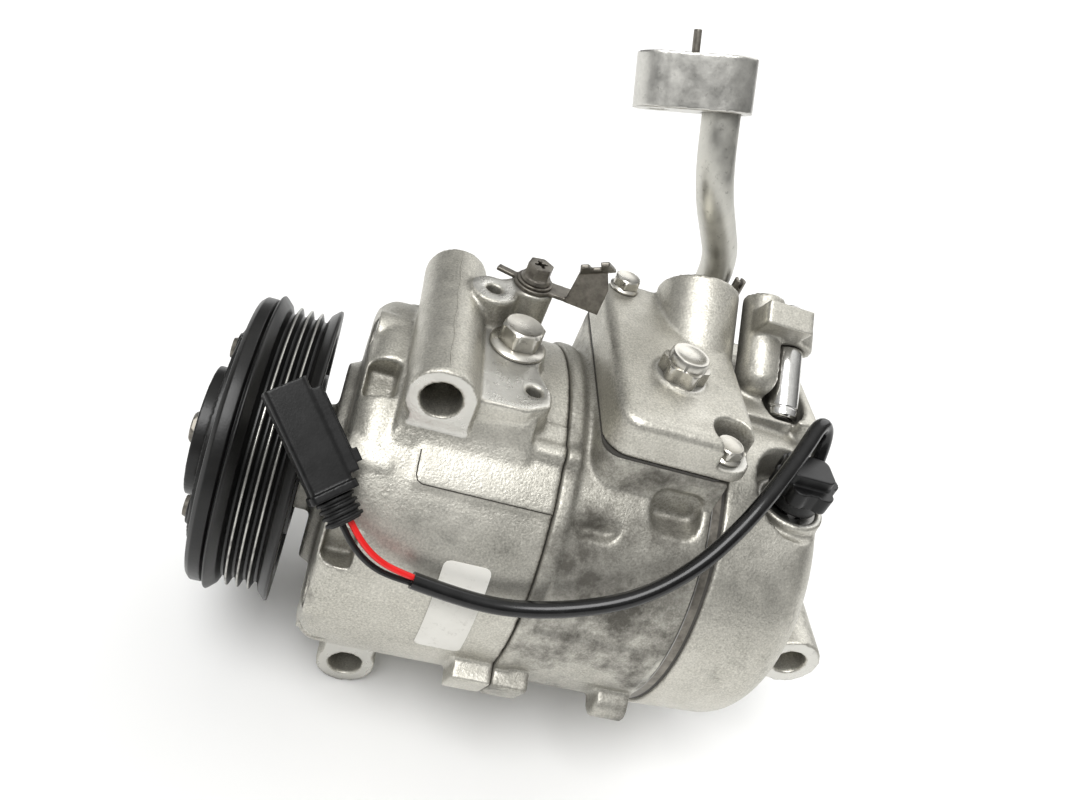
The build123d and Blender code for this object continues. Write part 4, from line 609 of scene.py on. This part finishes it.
def add_relief_valve():
    """Polished relief valve: a ring groove in its end, a barrel and a slimmer tail."""
    outline = [(0, 0), (0, 2.2), (0.2, 3.6), (6, 3.6), (6, 3.7), (0.15, 4.4), (0, 5.2), (0.8, 6), (3.2, 6),
               (3.5, 5.75), (3.9, 5.75), (4.2, 6), (26.4, 6), (27, 5.4), (27, 5), (43.4, 5), (44, 4.4),
               (44, 0)]
    turned = lathed(rounded_profile(outline, 0.2), 96)
    mesh = placed(turned, RELIEF_AT, (0, math.cos(RELIEF_TILT), math.sin(RELIEF_TILT)))
    joined("relief_valve_body", [mesh], "relief_valve")


# ---------------------------------------------------------------- lead
def add_lead():
    sleeve = cord_curve("lead_sleeve", SLEEVE_ROUTE, SLEEVE_R)
    stand_for(sleeve, "control_lead_sleeve")
    red = cord_curve("red_wire", RED_ROUTE, WIRE_R)
    stand_for(red, "lead_wire_red")
    black = cord_curve("black_wire", BLACK_ROUTE, WIRE_R)
    stand_for(black, "lead_wire_black")
    on_lead = [cast_piece("lead_plug", 0.32, 2), cast_piece("lead_plug_boot", 0.25, 2)]
    latch = cast_piece("lead_plug_latch", 0.25, 2)


# ---------------------------------------------------------------- castings and small parts
# nodes whose edges are rounded: voxel in millimetres, and rounds of smoothing
CAST_PIECES = {
    "front_housing": (0.85, 5), "cylinder_block": (0.85, 5), "rear_housing": (0.85, 5),
    "muffler_cover": (0.7, 5), "pipe_foot_block": (0.6, 3), "pipe_end_block": (0.5, 3),
    "control_valve_connector": (0.35, 3), "clip_bracket": (0.32, 2), "clip_washer": (0.3, 1),
    "clip_screw": (0.3, 1), "hub_plate": (0.5, 2), "damper_plate": (0.5, 2), "through_bolts": (0.6, 1),
    "discharge_pipe": (0.55, 4), "port_pin": (0.3, 1), "pipe_end_dowel": (0.3, 1),
}


def add_castings():
    for node, (voxel, rounds) in CAST_PIECES.items():
        cast_piece(node, voxel, rounds)


def finish_cad_nodes():
    """Gives every CAD node that still shows its procedural material."""
    for name, node in NODES.items():
        if not node.hide_render:
            node.data.materials.clear()
            node.data.materials.append(finish_of(name))


# ---------------------------------------------------------------- label and casting lines
SHELL_R = 60.7
LABEL_X, LABEL_W, LABEL_Z, LABEL_H, LABEL_CORNER = 58.0, 15.0, 5.5, 37.0, 2.2
LABEL_LIFTS = (0.03, 0.17)          # the film's under side and face above the shell
LABEL_ROWS, LABEL_COLUMNS = 72, 20


def add_label():
    """Blank label with rounded corners, bent round the shell."""
    rows, columns = LABEL_ROWS, LABEL_COLUMNS
    bm = bmesh.new()
    layers = []
    for lift in LABEL_LIFTS:
        grid = []
        for i in range(rows + 1):
            off = (i / rows - 0.5) * LABEL_H
            into = max(0.0, abs(off) - (LABEL_H / 2 - LABEL_CORNER))
            half = LABEL_W / 2 - LABEL_CORNER + math.sqrt(max(0.0, LABEL_CORNER ** 2 - into ** 2))
            z = LABEL_Z + off
            y = -math.sqrt((SHELL_R + lift) ** 2 - z * z)
            middle = LABEL_X + LABEL_W / 2
            grid.append([bm.verts.new(Vector((middle + (2 * j / columns - 1) * half, y, z)) * MM)
                         for j in range(columns + 1)])
        layers.append(grid)
    low, high = layers
    for i in range(rows):
        for j in range(columns):
            bm.faces.new((low[i][j], low[i + 1][j], low[i + 1][j + 1], low[i][j + 1]))
            bm.faces.new((high[i][j], high[i][j + 1], high[i + 1][j + 1], high[i + 1][j]))
        bm.faces.new((low[i][0], high[i][0], high[i + 1][0], low[i + 1][0]))
        bm.faces.new((low[i][-1], low[i + 1][-1], high[i + 1][-1], high[i][-1]))
    for j in range(columns):
        bm.faces.new((low[0][j], low[0][j + 1], high[0][j + 1], high[0][j]))
        bm.faces.new((low[-1][j], high[-1][j], high[-1][j + 1], low[-1][j + 1]))
    bmesh.ops.recalc_face_normals(bm, faces=bm.faces)
    mesh = bpy.data.meshes.new("label")
    bm.to_mesh(mesh)
    bm.free()
    new_piece("label", mesh, "rating_label")


def casting_line(name, route, radius, node, finish):
    """Thin raised line along a casting, through the points of the route; in a dark finish it is painted shade
    along an edge.
    """
    curve = bpy.data.curves.new(name, "CURVE")
    curve.dimensions = "3D"
    curve.bevel_depth = radius * MM
    curve.bevel_resolution = 3
    spline = curve.splines.new("POLY")
    spline.points.add(len(route) - 1)
    for point, place in zip(spline.points, route):
        point.co = (*(Vector(place) * MM), 1)
    line = bpy.data.objects.new(name, curve)
    bpy.context.scene.collection.objects.link(line)
    curve.materials.append(MATERIALS[finish])
    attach(line, BODY_OF[node])


LINE_R = SHELL_R + 0.72             # the line's distance from the shaft's axis
PANEL_CORNER = [(42.9, 48.2), (43.0, 45.0), (43.2, 43.2), (43.9, 42.0), (45.2, 41.5)]     # X and Z
PANEL_EDGE_Z, PANEL_EDGE_X, PANEL_STEP, PANEL_STEPS = 41.4, 46, 4, 11
TUBE_X, TUBE_Y, TUBE_TOP_Z, TUBE_STEP, TUBE_STEPS = 43.7, 36, 74.72, 2.3, 30


def on_shell(x, z):
    """Point of the panel's outline on the shell's near side, by its X and Z."""
    return (x, -math.sqrt(LINE_R ** 2 - z * z), z)


def along_tube(i):
    """Point of the slightly wavering mould line along the upper tube."""
    return (TUBE_X + 0.25 * math.sin(0.9 * i), TUBE_Y - TUBE_STEP * i, TUBE_TOP_Z + 0.06 * math.sin(2.1 * i))


def add_casting_lines():
    panel = [on_shell(x, z) for x, z in PANEL_CORNER]
    panel += [on_shell(PANEL_EDGE_X + PANEL_STEP * i, PANEL_EDGE_Z) for i in range(PANEL_STEPS)]
    # painted shade: a thin near-black line along the panel's edge
    casting_line("panel_outline", panel, 0.16, "front_housing", "panel_edge_shade")
    parting = [along_tube(i) for i in range(TUBE_STEPS)]
    casting_line("tube_parting_line", parting, 0.22, "front_housing", "front_housing")


# ---------------------------------------------------------------- studio
FLOOR_GAP = 0.5 * MM
FLOOR_HALF = 25.0
SKY = [(0.0, 0.9), (0.49, 0.75), (0.53, 0.10), (0.62, 0.16), (0.80, 0.42), (1.0, 1.0)]     # height, level
SKY_WARMTH = 0.985          # blue against red and green
# soft suns: where they shine from, how wide they look in degrees, and their power
KEY_FROM, KEY_SPREAD, KEY_POWER = (-0.25, -0.40, 0.88), 36, 2.3
RIM_FROM, RIM_SPREAD, RIM_POWER = (0.55, 0.65, 0.55), 50, 0.8


def add_stage():
    """Pale floor just under the compressor."""
    s = Surface("floor", Roughness=0.85)
    s.set("Base Color", s.mix(s.noise(3.0, 2.0), (0.88, 0.88, 0.875), (0.90, 0.90, 0.895)))
    mesh = bpy.data.meshes.new("floor")
    size = FLOOR_HALF
    corners = [(-size, -size), (size, -size), (size, size), (-size, size)]
    height = cad_box[0].z - FLOOR_GAP
    mesh.from_pydata([(x, y, height) for x, y in corners], [], [(0, 1, 2, 3)])
    mesh.materials.append(s.material)
    floor = bpy.data.objects.new("floor", mesh)
    bpy.context.scene.collection.objects.link(floor)


def add_light(name, toward, spread_deg, strength):
    """Soft light from far away: the direction it comes from, and how wide it looks."""
    lamp = bpy.data.lights.new(name, "SUN")
    lamp.angle = math.radians(spread_deg)
    lamp.energy = strength
    light = bpy.data.objects.new(name, lamp)
    light.rotation_mode = "QUATERNION"
    light.rotation_quaternion = Vector(toward).to_track_quat("Z", "Y")
    bpy.context.scene.collection.objects.link(light)


def add_studio():
    """Two soft suns, and a sky that is dark at the horizon so that round metal gets a dark band."""
    add_light("key", KEY_FROM, KEY_SPREAD, KEY_POWER)
    add_light("rim", RIM_FROM, RIM_SPREAD, RIM_POWER)
    world = bpy.data.worlds.new("studio")
    world.use_nodes = True
    tree = world.node_tree
    place = tree.nodes.new("ShaderNodeTexCoord")
    parts = tree.nodes.new("ShaderNodeSeparateXYZ")
    ramp = tree.nodes.new("ShaderNodeValToRGB")
    tree.links.new(place.outputs["Generated"], parts.inputs[0])
    spread = tree.nodes.new("ShaderNodeMapRange")
    spread.inputs["From Min"].default_value = -1.0
    tree.links.new(parts.outputs["Z"], spread.inputs["Value"])
    tree.links.new(spread.outputs["Result"], ramp.inputs["Fac"])
    stops = ramp.color_ramp.elements
    while len(stops) < len(SKY):
        stops.new(0.5)
    for stop, (height, level) in zip(stops, SKY):
        stop.position = height
        stop.color = (level, level, level * SKY_WARMTH, 1)
    background = tree.nodes["Background"]
    tree.links.new(ramp.outputs["Color"], background.inputs["Color"])
    background.inputs["Strength"].default_value = 1.0
    bpy.context.scene.world = world
    bpy.context.scene.view_settings.view_transform = "Standard"


add_camera()
add_lead()
add_castings()
add_screws()
add_pulley()
add_relief_valve()
add_label()
add_casting_lines()
finish_cad_nodes()
add_stage()
add_studio()
bpy.context.view_layer.update()
